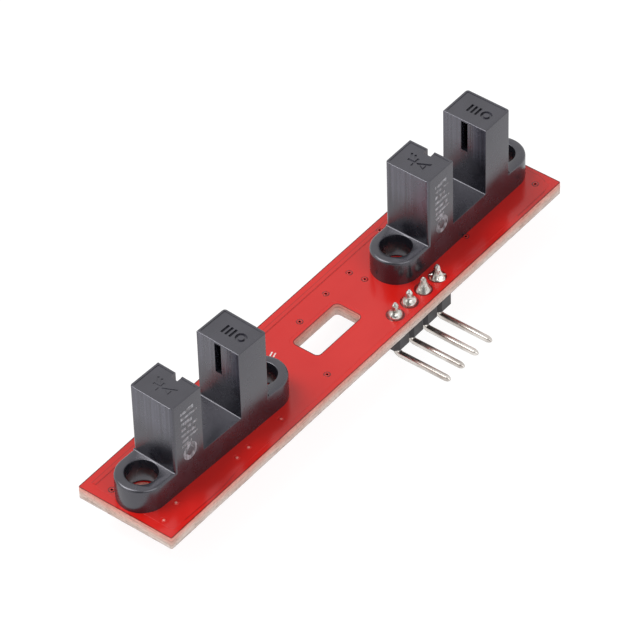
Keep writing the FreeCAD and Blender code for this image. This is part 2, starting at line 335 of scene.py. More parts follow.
@dataclass(frozen=True)
class RoutedLaminate(Finish):
    """Glass-fibre epoxy laminate, cut to shape with a router.

    The eye gets a pale grey that turns pink towards the mask, with the plies as faint level lines,
    dark and bright specks of torn fibre, and no gloss.
    """
    plies_per_mm: float = 5.5
    thickness_mm: float = 1.52
    ply_depth: float = 0.015
    tear_depth: float = 0.03
    matt: float = 0.85

    def dress(self, tree: bpy.types.NodeTree, shader: bpy.types.Node) -> None:
        """Level plies with torn fibre ends."""
        plies = grain(tree, (0.45, 0.45, self.plies_per_mm), 3.0, 0.65)
        tears = grain(tree, (3.2, 3.2, 6.0), 3.0, 0.7)
        stain = grain(tree, (0.25, 0.25, 0.6), 3.0, 0.5)
        rise = spread(tree, coordinate(tree, "Object", "Z"), 0.0, 1.0, -self.thickness_mm * MM, 0.0)
        ply = ramp(tree, spread(tree, plies, 0.0, 1.0, 0.3, 0.7),
                   ((0.0, "#b9b1ad"), (0.4, "#ece8e5"), (1.0, "#ffffff")))
        speck = ramp(tree, spread(tree, tears, 0.0, 1.0, 0.28, 0.55),
                     ((0.0, "#6f6460"), (0.35, "#e8e4e1"), (1.0, "#ffffff")))
        blush = two_tone(tree, stain, 0.35, 0.65, "#ffffff", "#f3dfd9")
        colour = ramp(tree, rise, ((0.0, "#efe9e4"), (0.45, "#f2d9d0"), (1.0, "#ffb3a4")))
        for share, layer in ((0.85, ply), (0.85, speck), (0.8, blush)):
            mixed = add(tree, "ShaderNodeMix", {"data_type": "RGBA", "blend_type": "MULTIPLY"},
                        {0: share}, {6: colour, 7: layer})
            colour = mixed.outputs[2]
        feed(tree, shader, {"Roughness": self.matt},
             {"Base Color": colour,
              "Normal": bump(tree, tears, self.tear_depth, bump(tree, plies, self.ply_depth))})


@dataclass(frozen=True)
class TinMetal(Finish):
    """Tin or tin-lead surface, as reflowed solder or a plated wire.

    The eye gets a bright silvery metal whose gloss and tone wander with oxide and flux residue.
    """
    bright: str = "#e6e3de"
    dull: str = "#a39c93"
    polish: float = 0.12
    matt: float = 0.30
    cells: tuple[float, float, float] = (1.6, 1.6, 1.6)
    depth: float = 0.02

    def dress(self, tree: bpy.types.NodeTree, shader: bpy.types.Node) -> None:
        """Metal with wandering tone, gloss and a shallow ripple."""
        film = grain(tree, self.cells, 4.0, 0.6)
        fine = grain(tree, tuple(4 * c for c in self.cells), 2.0, 0.5)
        feed(tree, shader, {"Metallic": 1.0},
             {"Base Color": two_tone(tree, film, 0.35, 0.65, self.dull, self.bright),
              "Roughness": spread(tree, film, self.matt, self.polish, 0.35, 0.65),
              "Normal": bump(tree, fine, self.depth / 4, bump(tree, film, self.depth))})


@dataclass(frozen=True)
class PlainMoulding(Finish):
    """Small moulded or fired body with a slightly mottled tone."""
    dark: str
    pale: str
    gloss: float
    cells: float
    index: float = 1.5
    depth: float = 0.004
    gloss_spread: float = 0.12

    def dress(self, tree: bpy.types.NodeTree, shader: bpy.types.Node) -> None:
        """Mottled tone with a fine tooth."""
        mottle = grain(tree, (self.cells,) * 3, 4.0, 0.6)
        tooth = grain(tree, (8 * self.cells,) * 3, 2.0, 0.5)
        feed(tree, shader, {"IOR": self.index},
             {"Base Color": two_tone(tree, mottle, 0.3, 0.7, self.dark, self.pale),
              "Roughness": spread(tree, mottle, self.gloss, self.gloss + self.gloss_spread),
              "Normal": bump(tree, tooth, self.depth)})


# Black polyester with glass filler: the dark semi-gloss of the sensor bodies.
HOUSING = MouldedHousing("black_polyester_moulded")
# Milky grey film on the housing, worn through to the plastic's own grey.
INK = PrintedInk("pale_pad_print_worn", "#adadb4", "#333338", (2.6, 2.6, 1.3), 5.0, 0.7,
                 (0.38, 0.62), 0.4)
# Chalky white epoxy ink on the mask, with thin spots where the red shows through.
SILK = PrintedInk("white_screen_print", "#e8e4e0", "#dc8f88", (4.0, 4.0, 4.0), 4.0, 0.6,
                  (0.3, 0.5), 0.6)
# Mask over bare laminate, and the slightly deeper mask over copper.
MASK = MaskCoat("red_solder_mask_on_laminate")
MASK_ON_COPPER = MaskCoat("red_solder_mask_on_copper", deep="#cb140d", bright="#d21e17",
                          sheen=0.15)
# Mask that slumped beside a track: thicker, so a shade deeper, and darker still as painted shade
# along the track's sides.
MASK_SHADE_BESIDE_TRACK = MaskCoat("red_solder_mask_beside_track", deep="#a9120c", bright="#b21a13")
# Mask that pooled in the corner round a raised ring: thick, and darkened further as painted shade
# at the feet of rings, pads and edges, so nearly brown.
MASK_POOLED_AND_SHADE = MaskCoat("red_solder_mask_pooled", deep="#5e0d0b", bright="#7a1210", sheen=0.2)
# Mask that plugs a via over bright tin: a thin glossy skin, made paler as a painted highlight, so a
# pale dot.
MASK_PLUG_HIGHLIGHT = MaskCoat("red_solder_mask_via_plug", deep="#cf4f45", bright="#e58d83", sheen=0.1)
LAMINATE = RoutedLaminate("glass_fibre_laminate_routed")
# Hand-fed tin-lead solder: bright, wet-looking, with dull flux films.
SOLDER = TinMetal("tin_lead_solder_hand_fed")
# Bright tin plate on drawn brass: smoother than solder, marked along the wire.
PIN_TIN = TinMetal("bright_tin_on_drawn_brass", bright="#e8e4df", dull="#a89f98", polish=0.18,
                   matt=0.32, cells=(1.8, 0.25, 0.5), depth=0.001)
# Matt tin plate on stamped steel, greyer than the pins.
LEAD_TIN = TinMetal("matt_tin_on_stamped_steel", bright="#cfccc6", dull="#9a968f", polish=0.25,
                    matt=0.45, cells=(2.0, 2.0, 0.5), depth=0.006)
# The plated wall of a via, dull and brown, darkened as painted shade for being seen deep in a small
# hole.
BARREL_IN_SHADE = TinMetal("plated_via_wall", bright="#8e6f5c", dull="#4b2a22", polish=0.35, matt=0.5,
                  cells=(4.0, 4.0, 4.0), depth=0.005)
# Heat-resistant nylon, moulded: near black with a satin skin.
HEADER_NYLON = PlainMoulding("black_nylon_moulded", "#1f1c20", "#302c31", 0.36, 0.6)
# Cast epoxy around the emitter, water clear with a blue cast over the dark cavity.
EMITTER_EPOXY = PlainMoulding("blue_clear_epoxy_cast", "#33405a", "#4a5a7a", 0.08, 0.3, 1.55, 0.001)
# Epoxy with a dye that only lets infrared through: almost black and glossy.
DETECTOR_EPOXY = PlainMoulding("infrared_dyed_epoxy_cast", "#120d12", "#1d161c", 0.08, 0.3, 1.55,
                               0.001)
# Glass overcoat on a thick-film resistor: black, slightly glossy.
RESISTOR_GLASS = PlainMoulding("resistor_glass_fired", "#141416", "#232326", 0.22, 1.2)
# Fired barium titanate: tan and waxy.
CAPACITOR_CERAMIC = PlainMoulding("capacitor_ceramic_fired", "#8e6d4a", "#a88560", 0.4, 1.0)


# ------------------------------------------------------------------ shapes

class Corner(Enum):
    """Corners of an upright block, by their place in a list of four radii."""
    FRONT_LOW = 0
    FRONT_HIGH = 1
    BACK_HIGH = 2
    BACK_LOW = 3


def rounded_rectangle(low: Point, high: Point, radii: Sequence[float], inset: float = 0.0,
                      steps: int = 8) -> list[Point]:
    """Outline of a rectangle with its own radius at each corner, counter-clockwise.

    Args:
        low: Lowest X and Y.
        high: Highest X and Y.
        radii: Radius at each corner, in the order of Corner.
        inset: Distance that the outline is drawn in by.
        steps: Divisions of each corner's arc.

    Returns:
        The outline's points.
    """
    x0, y0, x1, y1 = low[0] + inset, low[1] + inset, high[0] - inset, high[1] - inset
    points: list[Point] = []
    centres = {Corner.FRONT_LOW: (x0, y0, 1, 1, 180), Corner.FRONT_HIGH: (x1, y0, -1, 1, 270),
               Corner.BACK_HIGH: (x1, y1, -1, -1, 0), Corner.BACK_LOW: (x0, y1, 1, -1, 90)}
    for corner in Corner:
        x, y, side_x, side_y, start = centres[corner]
        radius = max(radii[corner.value] - inset, 0.01)
        for step in range(steps + 1):
            angle = math.radians(start + 90 * step / steps)
            points.append((x + side_x * radius + radius * math.cos(angle),
                           y + side_y * radius + radius * math.sin(angle)))
    return points


def turns(count: int) -> list[float]:
    """Angles of a full turn in equal steps, in radians."""
    return [2 * math.pi * n / count for n in range(count)]


def circle(x: float, y: float, radius: float, segments: int) -> list[Point]:
    """Circle's points, counter-clockwise."""
    return [(x + radius * math.cos(t), y + radius * math.sin(t)) for t in turns(segments)]


def eased(path: Sequence[Point], radius: float) -> list[Point]:
    """Path with its corners eased by short arcs.

    Args:
        path: Corner points of the path.
        radius: Distance from a corner at which its arc starts, less on short runs.

    Returns:
        The eased path's points.
    """
    points = [path[0]]
    for before, corner, after in zip(path, path[1:], path[2:]):
        reach = min(radius, 0.45 * math.dist(before, corner), 0.45 * math.dist(corner, after))
        start = Vector(corner) + (Vector(before) - Vector(corner)).normalized() * reach
        end = Vector(corner) + (Vector(after) - Vector(corner)).normalized() * reach
        for step in range(5):
            t = step / 4
            spot = start * (1 - t) ** 2 + Vector(corner) * 2 * t * (1 - t) + end * t ** 2
            points.append((spot.x, spot.y))
    points.append(path[-1])
    return points


def level(points: Iterable[Point], z: float) -> Ring:
    """Outline lifted to a height."""
    return [Vector((x, y, z)) for x, y in points]


def linked(name: str, data: bpy.types.ID) -> bpy.types.Object:
    """New object in the scene for a mesh, curve, lamp or camera."""
    made = bpy.data.objects.new(name, data)
    bpy.context.scene.collection.objects.link(made)
    return made


def as_object(bm: bmesh.types.BMesh, name: str) -> bpy.types.Object:
    """Object made of a bmesh, which is used up."""
    mesh = bpy.data.meshes.new(name)
    bm.to_mesh(mesh)
    bm.free()
    return linked(name, mesh)


def outward(bm: bmesh.types.BMesh, name: str) -> bpy.types.Object:
    """Object made of a finished bmesh, with its faces turned outward."""
    bmesh.ops.recalc_face_normals(bm, faces=bm.faces[:])
    return as_object(bm, name)


def band(bm: bmesh.types.BMesh, first: Sequence[bmesh.types.BMVert],
         second: Sequence[bmesh.types.BMVert]) -> None:
    """Faces between two rings of vertices with as many points each."""
    count = len(first)
    for i in range(count):
        j = (i + 1) % count
        bm.faces.new((first[i], first[j], second[j], second[i]))


def skin(rings: Sequence[Ring], name: str) -> bpy.types.Object:
    """Closed skin over a row of rings with as many points each.

    Args:
        rings: Rings of points from one end to the other.
        name: Name of the object.

    Returns:
        The closed solid, in millimetres.
    """
    bm = bmesh.new()
    rows = [[bm.verts.new(point) for point in ring] for ring in rings]
    for first, second in zip(rows, rows[1:]):
        band(bm, first, second)
    bm.faces.new(list(reversed(rows[0])))
    bm.faces.new(rows[-1])
    return outward(bm, name)


def hoop(sections: Sequence[Ring], name: str) -> bpy.types.Object:
    """Closed skin over a row of sections whose last one meets the first again."""
    bm = bmesh.new()
    rows = [[bm.verts.new(point) for point in section] for section in sections]
    for first, second in zip(rows, rows[1:] + rows[:1]):
        band(bm, first, second)
    return outward(bm, name)


def crowned_block(low: Point, high: Point, radii: Sequence[float], bottom: float, top: float,
                  crown: float, name: str, steps: int = 8) -> bpy.types.Object:
    """Upright moulded block whose top edge is rounded.

    Args:
        low: Lowest X and Y.
        high: Highest X and Y.
        radii: Upright corner radii, in the order of Corner.
        bottom: Height of the foot.
        top: Height of the top face.
        crown: Radius of the rounded top edge.
        name: Name of the object.
        steps: Divisions of each corner's arc.

    Returns:
        The block, in millimetres.
    """
    rings = [level(rounded_rectangle(low, high, radii, 0.0, steps), bottom)]
    for step in range(4):
        angle = math.radians(30 * step)
        inset = crown * (1 - math.cos(angle))
        rings.append(level(rounded_rectangle(low, high, radii, inset, steps),
                           top - crown + crown * math.sin(angle)))
    return skin(rings, name)


def block(low: Sequence[float], high: Sequence[float], name: str) -> bpy.types.Object:
    """Plain block between two corners, used as a cutter."""
    outline = [(low[0], low[1]), (high[0], low[1]), (high[0], high[1]), (low[0], high[1])]
    return skin([level(outline, low[2]), level(outline, high[2])], name)


def turned_solid(profile: Sequence[Point], x: float, y: float, name: str, segments: int = 32,
                 wander: float = 0.0, seed: float = 0.0) -> bpy.types.Object:
    """Solid turned about an upright axis, with an optional hand-made wander.

    Args:
        profile: Radius and height of each ring, from one end to the other.
        x: Axis place along X.
        y: Axis place along Y.
        name: Name of the object.
        segments: Divisions around the axis.
        wander: Share by which the radius wanders.
        seed: Place in the noise that sets the wander.

    Returns:
        The solid, in millimetres.
    """
    rings = []
    for radius, z in profile:
        ring = []
        for turn in turns(segments):
            spot = Vector((math.cos(turn) + seed, math.sin(turn) + seed, z * 0.9))
            reach = radius * (1 + wander * noise.noise(spot))
            ring.append(Vector((x + reach * math.cos(turn), y + reach * math.sin(turn), z)))
        rings.append(ring)
    return skin(rings, name)


def turned_ring(profile: Sequence[Point], name: str, segments: int) -> bpy.types.Object:
    """Closed ring turned about Z from a closed profile of radius and height."""
    return hoop([[Vector((r * math.cos(turn), r * math.sin(turn), z)) for r, z in profile]
                 for turn in turns(segments)], name)


def plain_mesh(source: bpy.types.Object, name: str) -> bpy.types.Object:
    """Plain mesh object that takes the place of an object, as its modifiers leave it."""
    graph = bpy.context.evaluated_depsgraph_get()
    mesh = bpy.data.meshes.new_from_object(source.evaluated_get(graph), depsgraph=graph)
    bpy.data.objects.remove(source)
    return linked(name, mesh)


def welded(body: bpy.types.Object) -> bpy.types.Object:
    """Body whose touching copies are made one, without the faces where they meet.

    Args:
        body: Body in millimetres, which is changed.

    Returns:
        The body.
    """
    weld = 0.001
    bm = bmesh.new()
    bm.from_mesh(body.data)
    met: dict[frozenset, list[bmesh.types.BMFace]] = {}
    for face in bm.faces:
        key = frozenset(tuple(round(c / weld) for c in v.co) for v in face.verts)
        met.setdefault(key, []).append(face)
    doubled = [face for faces in met.values() if len(faces) > 1 for face in faces]
    bmesh.ops.delete(bm, geom=doubled, context="FACES")
    bmesh.ops.remove_doubles(bm, verts=bm.verts[:], dist=weld)
    bm.to_mesh(body.data)
    bm.free()
    return body


class Cut(Enum):
    """What a tool body does to the body that it meets."""
    TAKE = "DIFFERENCE"
    JOIN = "UNION"


def combine(body: bpy.types.Object, tools: Sequence[bpy.types.Object],
            how: Cut) -> bpy.types.Object:
    """Body after each tool body has cut it or joined it.

    Args:
        body: Body that is worked on.
        tools: Tool bodies, which are used up.
        how: Whether they take material away or join it.

    Returns:
        The worked body, as a plain mesh.
    """
    for tool in tools:
        step = body.modifiers.new("work", "BOOLEAN")
        step.operation = how.value
        step.solver = "EXACT"
        step.object = tool
    made = plain_mesh(body, body.name)
    for tool in tools:
        bpy.data.objects.remove(tool)
    return made


def gathered(parts: Sequence[bpy.types.Object], name: str) -> bpy.types.Object:
    """One object made of several separate ones, which are used up."""
    bm = bmesh.new()
    for part in parts:
        bm.from_mesh(part.data)
        bpy.data.objects.remove(part)
    return as_object(bm, name)


def eight_corners(half_x: float, half_y: float, cut: float) -> tuple[Point, ...]:
    """Corners of a rectangle about the origin whose four corners are cut off."""
    return ((-half_x, -half_y + cut), (-half_x + cut, -half_y), (half_x - cut, -half_y),
            (half_x, -half_y + cut), (half_x, half_y - cut), (half_x - cut, half_y),
            (-half_x + cut, half_y), (-half_x, half_y - cut))


@dataclass
class Loop:
    """Edge of a plate: its outline, or a hole in it, with how rough its wall is."""
    points: list[Point]
    hole: bool = True
    rough: float = 0.0

    def shifted(self, distance: float) -> list[Point]:
        """Outline moved into the plate's material by a distance."""
        side = -1 if self.hole else 1
        count = len(self.points)
        moved = []
        for i, (x, y) in enumerate(self.points):
            before, after = self.points[i - 1], self.points[(i + 1) % count]
            along = Vector((after[0] - before[0], after[1] - before[1]))
            along.normalize()
            moved.append((x - side * along.y * distance, y + side * along.x * distance))
        return moved

    def resampled(self, spacing: float) -> "Loop":
        """Same edge with its long straights divided."""
        points: list[Point] = []
        for i, start in enumerate(self.points):
            end = self.points[(i + 1) % len(self.points)]
            count = max(1, round(math.dist(start, end) / spacing))
            for n in range(count):
                share = n / count
                points.append((start[0] + (end[0] - start[0]) * share,
                               start[1] + (end[1] - start[1]) * share))
        return Loop(points, self.hole, self.rough)

    def wall(self, z: float, inset: float) -> Ring:
        """Ring of the wall at a height, drawn in by an inset and by its roughness."""
        ring = []
        for (x, y), (x_in, y_in) in zip(self.points, self.shifted(1.0)):
            tear = self.rough * (0.5 + 0.5 * noise.noise(Vector((x * 2.1, y * 2.1, z * 3.7))))
            depth = inset + tear
            ring.append(Vector((x + (x_in - x) * depth, y + (y_in - y) * depth, z)))
        return ring


def holed_plate(loops: Sequence[Loop], low: float, high: float, chamfer: float, rows: int,
                name: str) -> bpy.types.Object:
    """Flat plate with holes, chamfered edges and walls that may be rough.

    Args:
        loops: The outline first, then every hole.
        low: Height of its underside.
        high: Height of its top.
        chamfer: Width of the chamfer on every edge.
        rows: Levels in the walls between the chamfers.
        name: Name of the object.

    Returns:
        The plate, in millimetres.
    """
    heights = [low + chamfer + (high - low - 2 * chamfer) * n / rows for n in range(rows + 1)]
    steps = [(low, chamfer)] + [(z, 0.0) for z in heights] + [(high, chamfer)]
    bm = bmesh.new()
    ends: list[list[bmesh.types.BMVert]] = [[], []]
    flat: list[Ring] = []
    for loop in loops:
        rings = [[bm.verts.new(point) for point in loop.wall(z, inset)] for z, inset in steps]
        for first, second in zip(rings, rings[1:]):
            band(bm, first, second)
        ends[0] += rings[0]
        ends[1] += rings[-1]
        flat.append([Vector((v.co.x, v.co.y, 0.0)) for v in rings[-1]])
    for triangle in tessellate_polygon(flat):
        for verts in ends:
            bm.faces.new([verts[i] for i in triangle])
    return outward(bm, name)


# ------------------------------------------------------------------ geometry node trees

def group(name: str,
          inputs: Sequence[tuple[str, str]]) -> tuple[bpy.types.NodeTree, bpy.types.Node]:
    """New geometry node tree with a geometry input and output and the named inputs given.

    Args:
        name: Name of the tree.
        inputs: Name and socket type of each further input.

    Returns:
        The tree and its input node.
    """
    tree = bpy.data.node_groups.new(name, "GeometryNodeTree")
    tree.interface.new_socket("Geometry", in_out="INPUT", socket_type="NodeSocketGeometry")
    for label, kind in inputs:
        tree.interface.new_socket(label, in_out="INPUT", socket_type=kind)
    tree.interface.new_socket("Geometry", in_out="OUTPUT", socket_type="NodeSocketGeometry")
    return tree, tree.nodes.new("NodeGroupInput")


def close_group(tree: bpy.types.NodeTree, start: bpy.types.Node,
                shape: bpy.types.NodeSocket) -> None:
    """Realizes a tree's shape, sets its material and ends the tree."""
    real = add(tree, "GeometryNodeRealizeInstances", links={"Geometry": shape})
    painted = add(tree, "GeometryNodeSetMaterial",
                  links={"Geometry": real.outputs[0], "Material": start.outputs["Material"]})
    add(tree, "NodeGroupOutput", links={"Geometry": painted.outputs[0]})


def row_tree() -> bpy.types.NodeTree:
    """Copies of one body along X, a pitch apart."""
    tree, start = group("row_of_copies", [("Count", "NodeSocketInt"), ("Pitch", "NodeSocketFloat"),
                                          ("Material", "NodeSocketMaterial")])
    offset = add(tree, "ShaderNodeCombineXYZ", links={"X": start.outputs["Pitch"]})
    line = add(tree, "GeometryNodeMeshLine", links={"Count": start.outputs["Count"],
                                                   "Offset": offset.outputs[0]})
    copies = add(tree, "GeometryNodeInstanceOnPoints",
                 links={"Points": line.outputs[0], "Instance": start.outputs["Geometry"]})
    close_group(tree, start, copies.outputs[0])
    return tree


def places_tree() -> bpy.types.NodeTree:
    """Copies of one body at every vertex of a mesh."""
    tree, start = group("copies_at_places", [("Copy", "NodeSocketObject"),
                                             ("Material", "NodeSocketMaterial")])
    body = add(tree, "GeometryNodeObjectInfo", links={"Object": start.outputs["Copy"]})
    copies = add(tree, "GeometryNodeInstanceOnPoints",
                 links={"Points": start.outputs["Geometry"], "Instance": body.outputs["Geometry"]})
    close_group(tree, start, copies.outputs[0])
    return tree


def ribbon_tree() -> bpy.types.NodeTree:
    """Raised ribbon with sloping shoulders along each path."""
    tree, start = group("raised_ribbon", [
        ("Width", "NodeSocketFloat"), ("Shoulder", "NodeSocketFloat"),
        ("Height", "NodeSocketFloat"), ("Material", "NodeSocketMaterial")])
    top = maths(tree, "SUBTRACT", start.outputs["Width"], start.outputs["Shoulder"])
    section = add(tree, "GeometryNodeCurvePrimitiveQuadrilateral", {"mode": "TRAPEZOID"},
                  {"Offset": 0.0}, {"Height": start.outputs["Height"],
                                    "Bottom Width": start.outputs["Width"], "Top Width": top})
    upright = add(tree, "GeometryNodeSetCurveNormal", {"mode": "Z_UP"},
                  links={"Curve": start.outputs["Geometry"]})
    swept = add(tree, "GeometryNodeCurveToMesh", values={"Fill Caps": True},
                links={"Curve": upright.outputs[0], "Profile Curve": section.outputs[0]})
    close_group(tree, start, swept.outputs[0])
    return tree


def grown(source: bpy.types.Object, tree: bpy.types.NodeTree, name: str,
          **inputs: object) -> bpy.types.Object:
    """Plain mesh that a geometry node tree makes of an object.

    Args:
        source: Object that the tree works on, which is used up.
        tree: The geometry node tree.
        name: Name of the result.
        **inputs: The tree's named inputs.

    Returns:
        The mesh object.
    """
    step = source.modifiers.new("grow", "NODES")
    step.node_group = tree
    for item in tree.interface.items_tree:
        if item.item_type == "SOCKET" and item.in_out == "INPUT" and item.name in inputs:
            step[item.identifier] = inputs[item.name]
    return plain_mesh(source, name)


# ------------------------------------------------------------------ handing pieces over

def hand_over(piece: bpy.types.Object, finish: Finish, slot: str, replaced: Sequence[str] = (),
              smooth_below: float = 35.0) -> bpy.types.Object:
    """Scales a piece from millimetres, dresses it, hangs it under the root body, hides the CAD
    nodes it stands for and logs it.

    Args:
        piece: Piece drawn in millimetres at its place in the part.
        finish: Its finish.
        slot: Material slot of the record; not used.
        replaced: CAD nodes that it stands for.
        smooth_below: Largest angle between faces that is shaded smooth, in degrees.

    Returns:
        The piece.
    """
    piece.data.transform(Matrix.Scale(MM, 4))
    piece.data.materials.clear()
    piece.data.materials.append(finish.material())
    piece.data.shade_smooth()
    piece.data.set_sharp_from_angle(angle=math.radians(smooth_below))
    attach(piece, "root")
    if replaced:
        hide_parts(*replaced)
    LOG.info("%s: %d faces, %s", piece.name, len(piece.data.polygons), finish.name)
    return piece


def paint_node(node: str, finish: Finish) -> None:
    """Gives a CAD node that stays in view its finish."""
    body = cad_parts[node]
    for entry in body.material_slots:
        entry.material = finish.material()
    LOG.info("%s: kept, %s", node, finish.name)


# ------------------------------------------------------------------ the sensors

@dataclass
class SensorHousing:
    """One flanged photo interrupter: a racetrack foot, two towers and the slot between them."""
    number: int
    centre: Point
    turn: float
    seat: float = 0.04
    width: float = 5.9
    hole_spacing: float = 19.05
    hole_radius: float = 1.8
    hole_rim: float = 0.12
    flange_height: float = 3.2
    flange_crown: float = 0.3
    floor_height: float = 3.3
    slot: float = 6.0
    tower: float = 4.5
    height: float = 12.55
    crown: float = 0.1
    outer_edge: float = 0.38
    inner_edge: float = 0.05
    wall: float = 0.85
    side_wall: float = 0.8
    roof: float = 1.0
    slit_foot: float = 8.2
    emitter_slit: float = 1.0
    detector_slit: float = 0.9
    slit_skin: float = 0.2
    slit_lap: float = 0.02
    bridge_lap: float = 0.5
    foot_edge: float = 0.02
    foot_crown: float = 0.04
    fillet: float = 0.16
    fillet_sink: float = 0.03
    panel_margin: float = 0.3
    panel_round: float = 0.15
    panel_depth: float = 0.06
    mark_depth: float = 0.27
    wear_step: float = 0.06
    film: float = 0.006
    film_sink: float = 0.01
    bars: tuple[float, ...] = (2.0, 2.5, 1.7, 2.5, 2.2, 2.5, 1.5)
    bar_top: float = 10.8
    bar_pitch: float = 0.78
    bar_gap: float = 0.07

    def label(self, what: str) -> str:
        """Name of one of this sensor's nodes."""
        return f"sensor_{self.number}_{what}"

    def placed(self, body: bpy.types.Object) -> bpy.types.Object:
        """Body turned and moved from the sensor's own axes to its place on the board."""
        turn = Matrix.Rotation(math.radians(self.turn), 4, "Z")
        body.data.transform(Matrix.Translation((*self.centre, self.seat)) @ turn)
        return body

    def tower_body(self, side: int) -> bpy.types.Object:
        """Solid tower, -1 for the emitter's and 1 for the detector's."""
        half = self.width / 2
        near, far = self.slot / 2, self.slot / 2 + self.tower
        x_low, x_high = sorted((side * near, side * far))
        outer, inner = self.outer_edge, self.inner_edge
        radii = (outer, inner, inner, outer) if side < 0 else (inner, outer, outer, inner)
        return crowned_block((x_low, -half), (x_high, half), radii, 0.0, self.height, self.crown,
                             f"tower_{side}")

    def foot_bodies(self) -> list[bpy.types.Object]:
        """Bridge under the slot, and the square-edged part of the flange under each tower."""
        half = self.width / 2
        reach = self.slot / 2
        outer = reach + self.tower - self.outer_edge
        lap = reach + self.bridge_lap
        sharp = (self.foot_edge,) * 4
        bodies = [crowned_block((-lap, -half), (lap, half), sharp, 0.0, self.floor_height,
                                self.foot_crown, "bridge", 2)]
        for side in (-1, 1):
            low, high = sorted((side * reach, side * outer))
            bodies.append(crowned_block((low, -half), (high, half), sharp, 0.0,
                                        self.flange_height, self.foot_crown, f"foot_{side}", 2))
        return bodies

    def corner_fillets(self) -> list[bpy.types.Object]:
        """Small hollow fillets at the foot of each tower, which catch the light as a fine line."""
        size, sink = self.fillet, self.fillet_sink
        half = self.width / 2 - self.foot_crown
        near, far = self.slot / 2, self.slot / 2 + self.tower
        arc = [(1 - math.cos(math.radians(t)), 1 - math.sin(math.radians(t)))
               for t in range(0, 91, 18)]
        outline = [(-sink, -sink), (-sink, size), *((size * a, size * b) for a, b in arc),
                   (size, -sink)]
        return [skin([[Vector((x + away * a, y, z + b)) for a, b in outline]
                      for y in (-half, half)], "fillet")
                for side in (-1, 1)
                for x, z, away in ((side * near, self.floor_height, -side),
                                   (side * far, self.flange_height, side))]

    def hollows(self) -> list[bpy.types.Object]:
        """Cutters for the two cavities, the light slits and the screw holes."""
        tools = []
        near = self.slot / 2
        cavity_y = self.width / 2 - self.side_wall
        rim, radius, top = self.hole_rim, self.hole_radius, self.flange_height
        profile = [(radius, -1.0), (radius, top - rim), (radius + rim * 0.35, top - rim * 0.3),
                   (radius + rim, top), (radius + rim, top + 1)]
        for side, slit, lap, slit_top in (
                (-1, self.emitter_slit, 0.0, self.height + 1),
                (1, self.detector_slit, self.slit_lap, self.height - self.slit_skin)):
            x_low, x_high = sorted((side * (near + self.wall),
                                    side * (near + self.tower - self.wall)))
            tools.append(block((x_low, -cavity_y, -1), (x_high, cavity_y, self.height - self.roof),
                               "cavity"))
            x_low, x_high = sorted((side * (near - 0.5), side * (near + self.wall + lap)))
            tools.append(block((x_low, -slit / 2, self.slit_foot), (x_high, slit / 2, slit_top),
                               "slit"))
            tools.append(turned_solid(profile, side * self.hole_spacing / 2, 0.0, "hole", 64))
        return tools

    def top_panels(self) -> list[bpy.types.Object]:
        """Cutters for the shallow sunk panel in each tower's top."""
        half = self.width / 2 - self.panel_margin
        near = self.slot / 2 + self.panel_margin
        far = self.slot / 2 + self.tower - self.panel_margin
        tools = []
        for side in (-1, 1):
            x_low, x_high = sorted((side * near, side * far))
            outline = rounded_rectangle((x_low, -half), (x_high, half), (self.panel_round,) * 4,
                                        0.0, 4)
            tools.append(skin([level(outline, self.height - self.panel_depth),
                               level(outline, self.height + 1)], "panel"))
        return tools

    def engravings(self) -> list[bpy.types.Object]:
        """Cutters for three bars and a ring in the detector's top, and for the emitter's symbol."""
        foot, over = self.height - self.mark_depth, self.height + 1
        middle, ring_y = self.slot / 2 + self.tower / 2, -1.35
        tools = [block((middle - 0.66, y - 0.15, foot), (middle + 0.62, y + 0.15, over), "bar")
                 for y in (-0.25, 0.3, 0.85)]
        ring = turned_solid([(0.68, foot), (0.68, over)], middle, ring_y, "ring", 32)
        core = turned_solid([(0.36, foot - 0.1), (0.36, over + 1)], middle, ring_y, "core", 32)
        tools.append(combine(ring, [core], Cut.TAKE))
        return tools + self.diode_symbol(-middle - 0.35)

    def diode_symbol(self, x: float) -> list[bpy.types.Object]:
        """Cutters for a lamp diode's symbol, fainter on the first sensor than on the second."""
        faint = self.height - self.panel_depth - self.wear_step * self.number
        over, heart = self.height + 1, -0.7
        outer, inner = ([(x - size, heart - 0.9 * size), (x + size, heart - 0.9 * size),
                         (x, heart + size)] for size in (0.84, 0.3))
        triangle = skin([level(outer, faint), level(outer, over)], "triangle")
        core = skin([level(inner, faint - 0.1), level(inner, over + 1)], "core")
        tools = [combine(triangle, [core], Cut.TAKE),
                 block((x - 0.7, 0.14, faint), (x + 0.7, 0.42, over), "cathode"),
                 block((x - 0.14, 0.35, faint), (x + 0.14, 1.25, over), "stroke")]
        for shift in (0.0, 0.5):
            ray = block((-0.12, -0.38, faint), (0.12, 0.38, over), "ray")
            ray.data.transform(Matrix.Translation((x + 0.72, 0.75 + shift, 0.0))
                               @ Matrix.Rotation(math.radians(-55), 4, "Z"))
            tools.append(ray)
        return tools

    def print_body(self) -> bpy.types.Object:
        """Worn bars of plain print down the emitter tower's front face, and a rubbed oval below."""
        front, back = -self.width / 2 - self.film, -self.width / 2 + self.film_sink
        start = -self.slot / 2 - 3.25
        pieces = []
        for number, length in enumerate(self.bars):
            z = self.bar_top - self.bar_pitch * number
            split = length * (0.45 + 0.25 * math.sin(5 * number))
            for piece, (low, high) in enumerate(((0.0, split), (split + self.bar_gap, length))):
                half = 0.19 + 0.05 * math.sin(3.1 * number + 2.2 * piece)
                slip = 0.05 * math.sin(7.3 * number + 1.9 * piece)
                pieces.append(block((start + low, front, z + slip - half),
                                    (start + high, back, z + slip + half), "bar"))
        x, z = start + 1.2, 4.75
        pieces.append(hoop([
            [Vector((x + wide * math.cos(t), y, z + tall * math.sin(t)))
             for t in (math.radians(15 * n) for n in range(24))]
            for y, wide, tall in ((back, 1.05, 1.15), (front, 1.05, 1.15), (front, 0.45, 0.6),
                                  (back, 0.45, 0.6))], "oval"))
        return gathered(pieces, self.label("print"))

